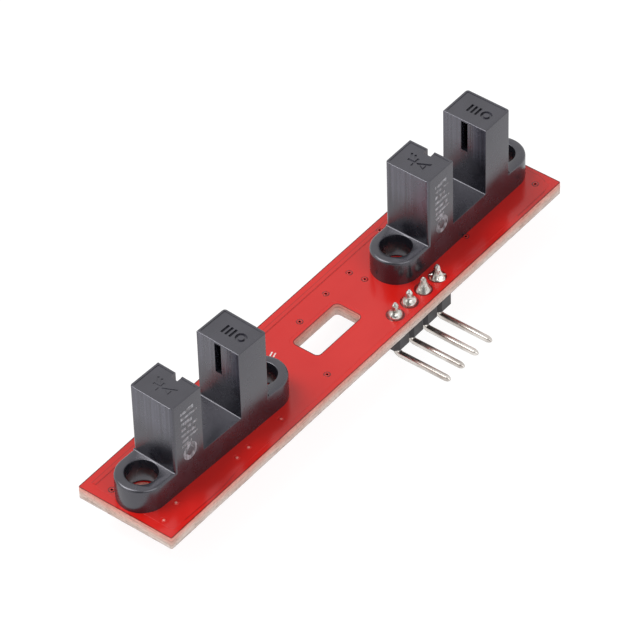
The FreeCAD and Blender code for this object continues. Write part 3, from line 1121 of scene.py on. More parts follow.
    def build(self) -> None:
        """Builds the housing and its worn print, and paints the packages inside it."""
        radius = self.width / 2
        ends = self.hole_spacing / 2 + radius
        body = crowned_block((-ends, -radius), (ends, radius), (radius,) * 4, 0.0,
                             self.flange_height, self.flange_crown,
                             self.label("housing_dressed"), 20)
        body = combine(body, self.foot_bodies() + [self.tower_body(-1), self.tower_body(1)],
                       Cut.JOIN)
        body = combine(body, self.corner_fillets(), Cut.JOIN)
        body = combine(body, self.hollows() + self.top_panels() + self.engravings(), Cut.TAKE)
        hand_over(self.placed(body), HOUSING, "sensor_housing_plastic", [self.label("housing")])
        hand_over(self.placed(self.print_body()), INK, "sensor_housing_plastic")
        paint_node(self.label("emitter"), EMITTER_EPOXY)
        paint_node(self.label("detector"), DETECTOR_EPOXY)


# ------------------------------------------------------------------ the board

@dataclass(frozen=True)
class Ribbon:
    """Section of a raised ribbon, whose shoulder is how much narrower its upper face is."""
    finish: Finish
    width: float
    shoulder: float
    height: float


# Mask on a track and slumped beside it in painted shade; printed strokes and frames; painted-shade
# lips at edges and pads.
TRACK = Ribbon(MASK_ON_COPPER, 0.42, 0.08, 0.044)
TRACK_SHADE_FOOT = Ribbon(MASK_SHADE_BESIDE_TRACK, 0.62, 0.14, 0.032)
STROKE = Ribbon(SILK, 0.16, 0.02, 0.02)
FRAME_LINE = Ribbon(SILK, 0.15, 0.02, 0.02)
EDGE_LIP = Ribbon(MASK_POOLED_AND_SHADE, 0.1, 0.05, 0.016)
PAD_LIP = Ribbon(MASK_POOLED_AND_SHADE, 0.15, 0.08, 0.03)

# Tracks as they show on top, and as they may run below, by their corner points.
TOP_TRACKS = (
    ((-2.4, 5.05), (46.1, 5.05), (47.27, 4.9)),
    ((47.27, 4.9), (48.4, 5.05), (63.5, 5.05), (64.9, 3.7), (64.9, -4.6), (63.7, -5.8),
     (58.0, -5.8)),
    ((25.67, -4.55), (24.4, -4.85), (14.6, -4.85), (13.2, -4.65), (11.97, -4.65)),
    ((-1.73, -4.25), (-0.6, -5.75), (5.6, -5.95), (8.6, -5.6), (10.02, -4.65)),
    ((1.02, -3.65), (3.4, -3.75), (6.2, -4.45), (8.6, -4.45)),
    ((23.5, 3.9), (34.5, 3.9), (35.57, 3.35)),
    ((35.57, 3.35), (39.77, 3.35)),
    ((46.4, -4.8), (47.6, -3.9), (52.17, -3.4)),
)
LOWER_TRACKS = (
    ((15.36, -1.94), (17.0, -3.5), (21.4, -3.5), (22.9, -2.15)),
    ((15.47, 0.6), (17.3, 2.5), (21.6, 2.5), (22.9, 1.65)),
    ((3.57, 1.11), (5.3, 3.3), (26.2, 3.3), (27.6, 2.7), (35.0, 2.7), (36.6, 1.65)),
    ((3.57, -1.43), (5.2, -4.3), (34.6, -4.3), (37.45, -4.8)),
    ((25.8, -2.15), (27.0, -3.2), (35.4, -3.2), (36.6, -2.15)),
    ((39.5, -2.15), (41.4, -2.9), (42.53, -4.8)),
    ((39.5, 1.65), (41.2, 3.2), (45.2, 3.2), (47.27, 1.02)),
    ((47.27, -1.52), (45.9, -3.0), (45.07, -4.8)),
    ((59.07, -1.52), (57.4, -3.6), (48.4, -3.6), (46.2, -4.3), (45.07, -4.8)),
    ((59.07, 1.02), (57.2, 2.9), (49.6, 2.9), (47.27, 1.02)),
)

# The two plain strokes by the window.
TOP_STROKES = (((24.3, 1.75), (24.95, 1.95)), ((24.2, 2.15), (24.85, 2.35)))


@dataclass
class CircuitBoard:
    """Long board: laminate, mask on both sides, copper relief, vias and a routed window."""
    low: Point = (-3.4, -6.65)
    high: Point = (65.8, 6.15)
    core_bottom: float = -1.52
    corner: float = 0.25
    chamfer: float = 0.03
    tear: float = 0.06
    edge_step: float = 0.3
    mask: float = 0.04
    mask_margin: float = 0.05
    mask_chamfer: float = 0.012
    mask_ragged: float = 0.04
    mask_ragged_window: float = 0.03
    mask_screw: float = 0.02
    mask_via: float = -0.03
    relief: float = 0.022
    relief_sink: float = 0.01
    relief_chamfer: float = 0.014
    copper_end: float = 1.1
    copper_front: float = 0.7
    copper_back: float = 1.45
    copper_corner: float = 0.5
    copper_window: float = 0.55
    copper_screw: float = 0.3
    copper_lead: float = 0.3
    copper_pin: float = 0.2
    copper_via: float = 0.12
    window_centre: Point = (31.2, -0.25)
    window: Point = (7.7, 3.5)
    window_radius: float = 0.5
    screw_radius: float = 1.6
    lead_hole: float = 0.45
    lead_pad: float = 0.85
    pin_hole: float = 0.5025
    pin_pad: float = 0.9025
    via_hole: float = 0.19
    via_ring: float = 0.32
    track_rise: float = 0.008
    track_ease: float = 0.9
    track_gap: float = 0.02
    foot_drop: float = 0.006
    edge_lip: float = 0.05
    window_lip: float = 0.06
    pad_lip: float = 0.08
    pad_lip_rise: float = 0.004
    print_rise: float = 0.03
    chip_frame: Point = (2.0, 0.95)
    header_frame: float = 1.5
    frame_corner: float = 0.1
    screw_places: tuple[Point, ...] = ()
    lead_places: tuple[Point, ...] = ()
    pin_places: tuple[Point, ...] = ()
    chip_places: tuple[Point, ...] = ()
    via_places: tuple[Point, ...] = (
        (-1.58, 2.95), (-1.73, -4.25), (1.02, -3.65), (10.02, -4.65), (11.97, -4.65), (17.37, -4.8),
        (25.67, -4.55), (30.37, 2.9), (35.57, 3.35), (39.77, 3.35), (39.97, 1.35), (47.27, 4.9),
        (52.17, -3.4), (63.77, -4.5))
    plugged: tuple[int, ...] = (1, 2, 3, 4, 5)

    def edge(self, margin: float, rough: float) -> Loop:
        """Board's outline drawn in by a margin."""
        outline = rounded_rectangle(self.low, self.high, (self.corner,) * 4, margin, 4)
        return Loop(outline, False, rough).resampled(self.edge_step)

    def window_edge(self, margin: float, rough: float) -> Loop:
        """Window's outline, opened by a margin."""
        half_x, half_y = self.window[0] / 2, self.window[1] / 2
        x, y = self.window_centre
        outline = rounded_rectangle((x - half_x, y - half_y), (x + half_x, y + half_y),
                                    (self.window_radius,) * 4, -margin, 8)
        return Loop(outline, True, rough).resampled(self.edge_step)

    def round_holes(self, lead: float, pin: float, screw: float) -> list[Loop]:
        """Round holes at the leads, pins and screws, with the radius of each kind."""
        return [Loop(circle(x, y, radius, segments))
                for places, radius, segments in ((self.screw_places, screw, 48),
                                                 (self.lead_places, lead, 24),
                                                 (self.pin_places, pin, 24))
                for x, y in places]

    def via_holes(self, radius: float) -> list[Loop]:
        """Small round holes at the vias."""
        return [Loop(circle(x, y, radius, 16)) for x, y in self.via_places]

    def laminate(self) -> bpy.types.Object:
        """Glass-fibre core with torn routed walls."""
        loops = [self.edge(0.0, self.tear), self.window_edge(0.0, self.tear)]
        loops += self.round_holes(self.lead_hole, self.pin_hole, self.screw_radius)
        loops += self.via_holes(self.via_hole)
        return holed_plate(loops, self.core_bottom, 0.0, self.chamfer, 7, "laminate_dressed")

    def coat(self, low: float, high: float, name: str) -> bpy.types.Object:
        """Coat of solder mask on one side."""
        loops = [self.edge(self.mask_margin, self.mask_ragged),
                 self.window_edge(self.mask_margin, self.mask_ragged_window)]
        loops += self.round_holes(self.lead_pad, self.pin_pad, self.screw_radius + self.mask_screw)
        loops += self.via_holes(self.via_hole + self.mask_via)
        return holed_plate(loops, low, high, self.mask_chamfer, 1, name)

    def copper_area(self, low: float, high: float, name: str) -> bpy.types.Object:
        """Raised area where mask lies on the ground copper, clear of holes and edges."""
        front, back = self.low[1] + self.copper_front, self.high[1] - self.copper_back
        outline = rounded_rectangle((self.low[0] + self.copper_end, front),
                                    (self.high[0] - self.copper_end, back),
                                    (self.copper_corner,) * 4, 0.0, 4)
        loops = [Loop(outline, False).resampled(1.0), self.window_edge(self.copper_window, 0.0)]
        loops += self.round_holes(self.lead_pad + self.copper_lead, self.pin_pad + self.copper_pin,
                                  self.screw_radius + self.copper_screw)
        loops += [hole for hole in self.via_holes(self.via_ring + self.copper_via)
                  if max(y for _, y in hole.points) < back]
        return holed_plate(loops, low, high, self.relief_chamfer, 1, name)

    def swept(self, tree: bpy.types.NodeTree, path: Sequence[Point], z: float, ribbon: Ribbon,
              side: int = 1, closed: bool = False) -> bpy.types.Object:
        """Ribbon along one path.

        Args:
            tree: The ribbon's geometry node tree.
            path: Points of its middle line.
            z: Height of its middle.
            ribbon: Its section and finish.
            side: Way that its narrower face looks, 1 for up and -1 for down.
            closed: Whether its ends meet.

        Returns:
            The ribbon.
        """
        curve = bpy.data.curves.new("path", "CURVE")
        curve.dimensions = "3D"
        line = curve.splines.new("POLY")
        line.points.add(len(path) - 1)
        for point, (x, y) in zip(line.points, path):
            point.co = (x, y, z, 1.0)
        line.use_cyclic_u = closed
        return grown(linked("path", curve), tree, "ribbon", Width=ribbon.width,
                     Shoulder=side * ribbon.shoulder, Height=ribbon.height,
                     Material=ribbon.finish.material())

    def trimmed(self, path: Sequence[Point]) -> list[Point]:
        """Path whose ends stop at the rings of the vias or pads that they reach."""
        ends = []
        for end, near in ((path[0], path[1]), (path[-1], path[-2])):
            way = (Vector(near) - Vector(end)).normalized()
            spot = Vector(end) + way * (self.via_ring + self.track_gap)
            ends.append((spot.x, spot.y))
        return [ends[0], *path[1:-1], ends[1]]

    def tracks(self, tree: bpy.types.NodeTree) -> None:
        """Raised ribbons where mask lies on tracks, with the mask that slumped beside them,
        darkened as painted shade along their sides.
        """
        parts, beside = [], []
        for paths, z, side in ((TOP_TRACKS, self.mask + self.track_rise, 1),
                               (LOWER_TRACKS, self.core_bottom - self.mask - self.track_rise, -1)):
            for path in paths:
                line = eased(self.trimmed(path), self.track_ease)
                parts.append(self.swept(tree, line, z, TRACK, side))
                beside.append(self.swept(tree, line, z - side * self.foot_drop, TRACK_SHADE_FOOT, side))
        hand_over(gathered(beside, "track_shoulders"), TRACK_SHADE_FOOT.finish, "red_solder_mask")
        hand_over(gathered(parts, "track_relief"), TRACK.finish, "red_solder_mask")

    def silk(self, tree: bpy.types.NodeTree) -> None:
        """Plain white print: two strokes by the window, and frames round the parts below."""
        top = self.mask + self.print_rise
        below = self.core_bottom - self.mask - self.print_rise
        parts = [self.swept(tree, path, top, STROKE) for path in TOP_STROKES]
        wide, deep = self.chip_frame
        frames = [((x - wide, y - deep), (x + wide, y + deep)) for x, y in self.chip_places]
        (first, y), (last, _) = self.pin_places[0], self.pin_places[-1]
        margin = self.header_frame
        frames.append(((first - margin, y - margin), (last + margin, y + margin)))
        for low, high in frames:
            outline = rounded_rectangle(low, high, (self.frame_corner,) * 4, 0.0, 2)
            parts.append(self.swept(tree, outline, below, FRAME_LINE, -1, True))
        hand_over(gathered(parts, "silk_print"), SILK, "red_solder_mask")

    def rims(self, tree: bpy.types.NodeTree) -> None:
        """Thick lips of mask at the board's outline, the window and the top joints, dark as painted
        shade along those edges.
        """
        parts = []
        for z in (self.mask, self.core_bottom - self.mask):
            for loop in (self.edge(self.mask_margin + self.edge_lip, 0.0),
                         self.window_edge(self.mask_margin + self.window_lip, 0.0)):
                parts.append(self.swept(tree, loop.points, z, EDGE_LIP, 1, True))
        for x, y in self.pin_places:
            lip = circle(x, y, self.pin_pad + self.pad_lip, 32)
            parts.append(self.swept(tree, lip, self.mask + self.pad_lip_rise, PAD_LIP, 1, True))
        hand_over(gathered(parts, "mask_rims"), MASK_POOLED_AND_SHADE, "red_solder_mask")

    def at_places(self, copy: bpy.types.Object, spots: Sequence[Point], z: float,
                  tree: bpy.types.NodeTree, finish: Finish) -> bpy.types.Object:
        """Copies of a body at places on the board.

        Args:
            copy: Body to copy, which is used up.
            spots: Places of the copies.
            z: Height of their origin.
            tree: The geometry node tree that sets the copies.
            finish: Their finish.

        Returns:
            The copies as one object.
        """
        places = bpy.data.meshes.new("places")
        places.from_pydata([(x, y, z) for x, y in spots], [], [])
        made = grown(linked("places", places), tree, "copies", Copy=copy,
                     Material=finish.material())
        bpy.data.objects.remove(copy)
        return made

    def vias(self, tree: bpy.types.NodeTree) -> None:
        """Raised rings round the via holes on both sides, pools of thick mask in painted shade
        round the open ones, their plated walls in painted shade and plugs of mask with a painted
        highlight.
        """
        top, bottom = self.mask, self.core_bottom - self.mask
        hole, ring = self.via_hole, self.via_ring
        ring_profile = [(hole - 0.04, 0.0), (ring, 0.0), (ring - 0.03, 0.028),
                        (ring - 0.08, 0.04), (hole + 0.02, 0.04), (hole - 0.04, 0.02)]
        # Pool: a ring of thick mask round each open via, dark as painted shade at the ring's foot.
        shade_pool_profile = [(ring - 0.04, -0.01), (ring + 0.09, -0.01), (ring + 0.09, 0.004),
                        (ring + 0.02, 0.012), (ring - 0.04, 0.026)]
        # Wall: the plated barrel, darkened as painted shade of the hole.
        wall_profile = [(hole - 0.045, bottom + 0.02), (hole, bottom + 0.02),
                        (hole, top - 0.02), (hole - 0.045, top - 0.02)]
        # Plug: a glossy dome of mask whose pale colour is partly a painted highlight.
        plug_profile = [(hole - 0.035, -0.1), (hole - 0.035, 0.02), (hole - 0.06, 0.045),
                        (hole - 0.12, 0.062), (0.02, 0.066)]
        filled = [self.via_places[n] for n in self.plugged]
        unfilled = [spot for spot in self.via_places if spot not in filled]
        sunk = ((top - 0.004, 1.0), (bottom + 0.004, -1.0))
        both = ((top, 1.0), (bottom, -1.0))
        red = "red_solder_mask"
        for name, profile, heights, spots, finish, slot in (
                ("via_rings", ring_profile, sunk, self.via_places, MASK_ON_COPPER, red),
                ("via_pools", shade_pool_profile, both, unfilled, MASK_POOLED_AND_SHADE, red),
                ("via_plugs", plug_profile, both, filled, MASK_PLUG_HIGHLIGHT, red),
                ("via_walls", wall_profile, ((0.0, 1.0),), self.via_places, BARREL_IN_SHADE, "solder")):
            parts = []
            for z, way in heights:
                shape = [(r, way * h) for r, h in profile]
                copy = (turned_solid(shape, 0.0, 0.0, name, 16) if profile is plug_profile
                        else turned_ring(shape, name, 20))
                parts.append(self.at_places(copy, spots, z, tree, finish))
            hand_over(gathered(parts, name), finish, slot)

    def build(self) -> None:
        """Builds every layer of the board."""
        red = "red_solder_mask"
        top, core, bottom = self.mask, self.core_bottom, self.core_bottom - self.mask
        hand_over(self.laminate(), LAMINATE, "glass_fibre_laminate", ["circuit_board"])
        hand_over(self.coat(0.0, top, "mask_top_dressed"), MASK, red, ["solder_mask_top"])
        hand_over(self.coat(bottom, core, "mask_bottom_dressed"), MASK, red,
                  ["solder_mask_bottom"])
        hand_over(self.copper_area(top - self.relief_sink, top + self.relief, "copper_area_top"),
                  MASK_ON_COPPER, red)
        hand_over(self.copper_area(bottom - self.relief, bottom + self.relief_sink,
                                   "copper_area_bottom"), MASK_ON_COPPER, red)
        ribbon = ribbon_tree()
        self.tracks(ribbon)
        self.rims(ribbon)
        self.silk(ribbon)
        self.vias(places_tree())


# ------------------------------------------------------------------ the pin header and its solder

class Joint(Enum):
    """How a soldered header joint was left by the iron."""
    ROUND_WITH_STUB = "round_with_stub"
    SMOOTH_CONE = "smooth_cone"
    SPIKED_CONE = "spiked_cone"


# How far a joint's radius wanders, and the radius and height of its rings from the pad up.
JOINT_SHAPES: dict[Joint, tuple[float, tuple[Point, ...]]] = {
    Joint.ROUND_WITH_STUB: (0.10, (
        (0.895, 0.0), (0.895, 0.06), (0.86, 0.2), (0.8, 0.38), (0.68, 0.56), (0.54, 0.72),
        (0.44, 0.86), (0.39, 1.05), (0.37, 1.3), (0.34, 1.5), (0.24, 1.66), (0.1, 1.76),
        (0.02, 1.79))),
    Joint.SMOOTH_CONE: (0.12, (
        (0.895, 0.0), (0.895, 0.05), (0.84, 0.15), (0.7, 0.4), (0.56, 0.7), (0.44, 1.0),
        (0.34, 1.3), (0.25, 1.55), (0.15, 1.75), (0.06, 1.86), (0.01, 1.88))),
    Joint.SPIKED_CONE: (0.55, (
        (0.895, 0.0), (0.895, 0.05), (0.8, 0.16), (0.6, 0.42), (0.46, 0.75), (0.4, 1.05),
        (0.34, 1.3), (0.2, 1.55), (0.1, 1.72), (0.02, 1.84))),
}
# Direction in degrees, height and length of each spike that the iron drew out of the spiked joint,
# and the share of its length and radius of each ring of a spike.
SPIKES = ((-50, 0.3, 0.98), (130, 0.34, 0.96), (220, 0.2, 0.9))
SPIKE_RINGS = ((0.2, 0.24), (0.6, 0.17), (0.85, 0.09), (1.0, 0.02))


@dataclass
class PinHeader:
    """Four bent square pins in a row of octagonal segments, soldered from the sensor side."""
    first: Point = (37.45, -4.8)
    pitch: float = 2.54
    underside: float = -1.56
    core_bottom: float = -1.52
    seat: float = 0.04
    pin: float = 0.64
    edge: float = 0.09
    stub: float = 1.75
    drop: float = 3.95
    bend: float = 0.8
    reach: float = 7.45
    taper: float = 0.5
    tip: float = 0.3
    body_height: float = 2.5
    body_half: float = 1.25
    notch: float = 0.45
    low_ease: float = 0.07
    top_ease: float = 0.05
    bore_play: float = 0.01
    fill_pad: float = 0.88
    fill_radius: float = 0.49
    joints: tuple[Joint, ...] = (Joint.ROUND_WITH_STUB, Joint.ROUND_WITH_STUB, Joint.SMOOTH_CONE,
                                 Joint.SPIKED_CONE)

    def places(self) -> tuple[Point, ...]:
        """Place of each pin."""
        return tuple((self.first[0] + n * self.pitch, self.first[1])
                     for n in range(len(self.joints)))

    def section(self, size: float, centre: Vector, across: Vector, up: Vector) -> Ring:
        """Square section of the pin with eased corners."""
        corners = eight_corners(size / 2, size / 2, min(self.edge, size / 4))
        return [centre + across * a + up * b for a, b in corners]

    def pin_body(self) -> bpy.types.Object:
        """First pin: tapered stub, upright, elbow, leg and chisel tip, as one sweep."""
        x, y = self.first
        axis_z = self.underside - self.drop
        across, along, up = Vector((1, 0, 0)), Vector((0, 1, 0)), Vector((0, 0, 1))
        top, end_y = self.seat + self.stub, y - self.reach
        rings = [self.section(size, Vector((x, y, z)), across, along)
                 for size, z in ((self.tip, top), (self.pin * 0.8, top - self.taper * 0.45),
                                 (self.pin, top - self.taper))]
        turn_y, turn_z = y - self.bend, axis_z + self.bend
        steps = 12
        for step in range(steps + 1):
            angle = math.radians(90 * step / steps)
            outward = Vector((0, math.cos(angle), -math.sin(angle)))
            centre = Vector((x, turn_y + self.bend * math.cos(angle),
                             turn_z - self.bend * math.sin(angle)))
            rings.append(self.section(self.pin, centre, across, outward))
        for size, place_y in ((self.pin, end_y + self.taper),
                              (self.pin * 0.82, end_y + self.taper * 0.4), (self.tip, end_y)):
            rings.append(self.section(size, Vector((x, place_y, axis_z)), across, -up))
        return skin(rings, "pin")

    def segment_body(self) -> bpy.types.Object:
        """First segment of the body, an octagonal block with eased edges and the pin's hole."""
        x, y = self.first
        low = self.underside - self.body_height
        rings = []
        for inset, z in ((self.low_ease, low), (0.0, low + self.low_ease),
                         (0.0, self.underside - self.top_ease), (self.top_ease, self.underside)):
            corners = eight_corners(self.pitch / 2, self.body_half - inset, self.notch)
            rings.append([Vector((x + a, y + b, z)) for a, b in corners])
        hole = self.pin / 2 + self.bore_play
        tool = block((x - hole, y - hole, low - 1), (x + hole, y + hole, self.underside + 1),
                     "bore")
        return combine(skin(rings, "segment"), [tool], Cut.TAKE)

    def joint_body(self, kind: Joint, place: Point, seed: float) -> bpy.types.Object:
        """Solder of one joint, from the pad up.

        Args:
            kind: How the iron left it.
            place: Place of its pin.
            seed: Place in the noise that sets its uneven shape.

        Returns:
            The joint.
        """
        wander, profile = JOINT_SHAPES[kind]
        body = turned_solid(profile, *place, "joint", 40, wander, seed)
        if kind is not Joint.SPIKED_CONE:
            return body
        up = Vector((0, 0, 1))
        spikes = []
        for turn, z, length in SPIKES:
            way = Vector((math.cos(math.radians(turn)), math.sin(math.radians(turn)), 0.05))
            side = Vector((-way.y, way.x, 0)).normalized()
            root = Vector((*place, z))
            rings = []
            for share, size in SPIKE_RINGS:
                centre = root + way * length * share
                rings.append([centre + side * size * math.cos(a) + up * size * math.sin(a)
                              for a in turns(10)])
            spikes.append(skin(rings, "spike"))
        return combine(body, spikes, Cut.JOIN)

    def build(self) -> None:
        """Builds pins, body and joints."""
        tree = row_tree()
        count = len(self.joints)
        pins = grown(self.pin_body(), tree, "header_pins_dressed", Count=count, Pitch=self.pitch,
                     Material=PIN_TIN.material())
        hand_over(pins, PIN_TIN, "tinned_pin", [f"header_pin_{n + 1}" for n in range(count)],
                  smooth_below=50.0)
        body = grown(self.segment_body(), tree, "header_body_dressed", Count=count,
                     Pitch=self.pitch, Material=HEADER_NYLON.material())
        hand_over(welded(body), HEADER_NYLON, "header_plastic", ["header_body"])
        fill_profile = [(self.fill_pad, self.underside), (self.fill_pad, self.core_bottom),
                        (self.fill_radius, self.core_bottom), (self.fill_radius, 0.0), (0.6, 0.01)]
        for n, (kind, place) in enumerate(zip(self.joints, self.places()), start=1):
            joint = self.joint_body(kind, place, 3.1 * n)
            fill = turned_solid(fill_profile, *place, "fill", 24)
            piece = gathered([joint, fill], f"header_pin_solder_{n}_dressed")
            hand_over(piece, SOLDER, "solder", [f"header_pin_solder_{n}"], smooth_below=60.0)


# ------------------------------------------------------------------ leads and their joints

@dataclass
class SensorLeads:
    """Four flat leads of one sensor, soldered under the board."""
    number: int
    places: tuple[Point, ...]
    turn: float
    top: float = 7.38
    underside: float = -1.56
    core_bottom: float = -1.52
    fill_radius: float = 0.44
    ring_radius: float = 0.84
    tail: float = 1.5
    width: float = 0.5
    thickness: float = 0.4
    edge: float = 0.05
    shear: float = 0.05
    burr: float = 0.06
    peak: float = 1.1

    def lead_body(self, place: Point, seed: float) -> bpy.types.Object:
        """One lead with eased edges and a sheared tail."""
        turn = math.radians(self.turn)
        across = Vector((math.cos(turn), math.sin(turn), 0))
        along = Vector((-math.sin(turn), math.cos(turn), 0))
        low, slant = self.underside - self.tail, self.shear * math.sin(seed)
        rings = []
        for z, share in ((low, 0.86), (low + self.burr, 1.0), (self.top, 1.0)):
            corners = eight_corners(share * self.thickness / 2, share * self.width / 2, self.edge)
            rings.append([Vector((*place, z)) + across * a + along * b
                          + Vector((0, 0, slant * a / self.thickness if z == low else 0.0))
                          for a, b in corners])
        return skin(rings, "lead")

    def joint_body(self, place: Point, seed: float) -> bpy.types.Object:
        """Solder under the board, with the filled hole and the ring that shows on top."""
        low, core, fill, ring = self.underside, self.core_bottom, self.fill_radius, self.ring_radius
        end = low - (self.peak + 0.12 * math.sin(seed * 2.3))
        profile = [(0.30, end), (0.36, end + 0.06), (0.40, low - 0.8), (0.47, low - 0.55),
                   (0.58, low - 0.32), (0.72, low - 0.14), (ring, low - 0.04), (0.845, core),
                   (fill, core + 0.005), (fill, 0.0), (ring, 0.0), (ring, 0.03), (0.2, 0.038)]
        return turned_solid(profile, *place, "joint", 32, 0.05, seed)

    def build(self) -> None:
        """Builds the four leads and their joints."""
        label = f"sensor_{self.number}_lead"
        leads, numbers = [], range(1, len(self.places) + 1)
        for n, place in zip(numbers, self.places):
            leads.append(self.lead_body(place, n))
            joint = self.joint_body(place, 1.7 * n + 5 * self.number)
            joint.name = f"{label}_solder_{n}_dressed"
            hand_over(joint, SOLDER, "solder", [f"{label}_solder_{n}"], smooth_below=60.0)
        hand_over(gathered(leads, f"{label}s_dressed"), LEAD_TIN, "tinned_lead",
                  [f"{label}_{n}" for n in numbers])


# ------------------------------------------------------------------ chip parts

@dataclass
class ChipPart:
    """Small chip part under the board, with its end caps and solder fillets."""
    name: str
    centre: Point
    thickness: float
    finish: Finish
    slot: str
    length: float = 2.0
    width: float = 1.25
    cap: float = 0.35
    cap_proud: float = 0.03
    cap_edge: float = 0.06
    cap_crown: float = 0.04
    body_edge: float = 0.03
    body_crown: float = 0.02
    top: float = -1.61
    pad_level: float = -1.52
    seat: float = 0.09
    reach: float = 0.5
    climb: float = 0.36

    def cap_body(self, side: int) -> bpy.types.Object:
        """Metal end cap, a little proud of the body."""
        x, y = self.centre
        end = x + side * self.length / 2
        low_x, high_x = sorted((end, end - side * self.cap))
        half = self.width / 2
        return crowned_block((low_x, y - half), (high_x, y + half), (self.cap_edge,) * 4,
                             self.top - self.thickness, self.top, self.cap_crown, "cap", 3)

    def fillet_body(self, side: int) -> bpy.types.Object:
        """Concave solder from the pad up the end cap."""
        x, y = self.centre
        face = x + side * (self.length / 2 - 0.005)
        low, foot = self.pad_level, self.pad_level - self.seat
        rings = []
        steps = 12
        for n in range(steps + 1):
            share = 2 * n / steps - 1
            half = self.width / 2 * share
            swell = math.sqrt(max(0.0, 1 - share ** 4)) * 0.85 + 0.15
            out, up = self.reach * swell, self.climb * swell
            outline = [(-self.cap, low), (out, low), (out, low - self.seat / 2),
                       (out * 0.55, foot - up * 0.12), (out * 0.25, foot - up * 0.42),
                       (0.0, foot - up), (0.0, foot), (-self.cap, foot)]
            rings.append([Vector((face + side * a, y + half, z)) for a, z in outline])
        return skin(rings, "fillet")

    def build(self) -> None:
        """Builds the body, caps and fillets."""
        x, y = self.centre
        proud = self.cap_proud
        inner = self.length / 2 - self.cap + proud
        half = self.width / 2 - proud
        body = crowned_block((x - inner, y - half), (x + inner, y + half), (self.body_edge,) * 4,
                             self.top - self.thickness + proud, self.top - proud,
                             self.body_crown, f"{self.name}_dressed", 2)
        hand_over(body, self.finish, self.slot, [self.name])
        caps = gathered([self.cap_body(-1), self.cap_body(1)], f"{self.name}_caps")
        hand_over(caps, LEAD_TIN, "tinned_lead")
        fillets = gathered([self.fillet_body(-1), self.fillet_body(1)],
                           f"{self.name}_solder_dressed")
        hand_over(fillets, SOLDER, "solder", [f"{self.name}_solder_a", f"{self.name}_solder_b"],
                  smooth_below=60.0)


# ------------------------------------------------------------------ stage, light and camera

@dataclass(frozen=True)
class Lamp:
    """Soft square area lamp, in metres and watts, that faces the middle of the board."""
    name: str
    place: tuple[float, float, float]
    size: float
    power: float
    aim: tuple[float, float, float] = (0.031, 0.0, 0.0)

    def hang(self) -> None:
        """Adds the lamp to the scene."""
        data = bpy.data.lights.new(self.name, "AREA")
        data.shape = "SQUARE"
        data.size = self.size
        data.energy = self.power
        body = linked(self.name, data)
        body.location = self.place
        toward = Vector(self.aim) - Vector(self.place)
        body.rotation_euler = toward.to_track_quat("-Z", "Y").to_euler()


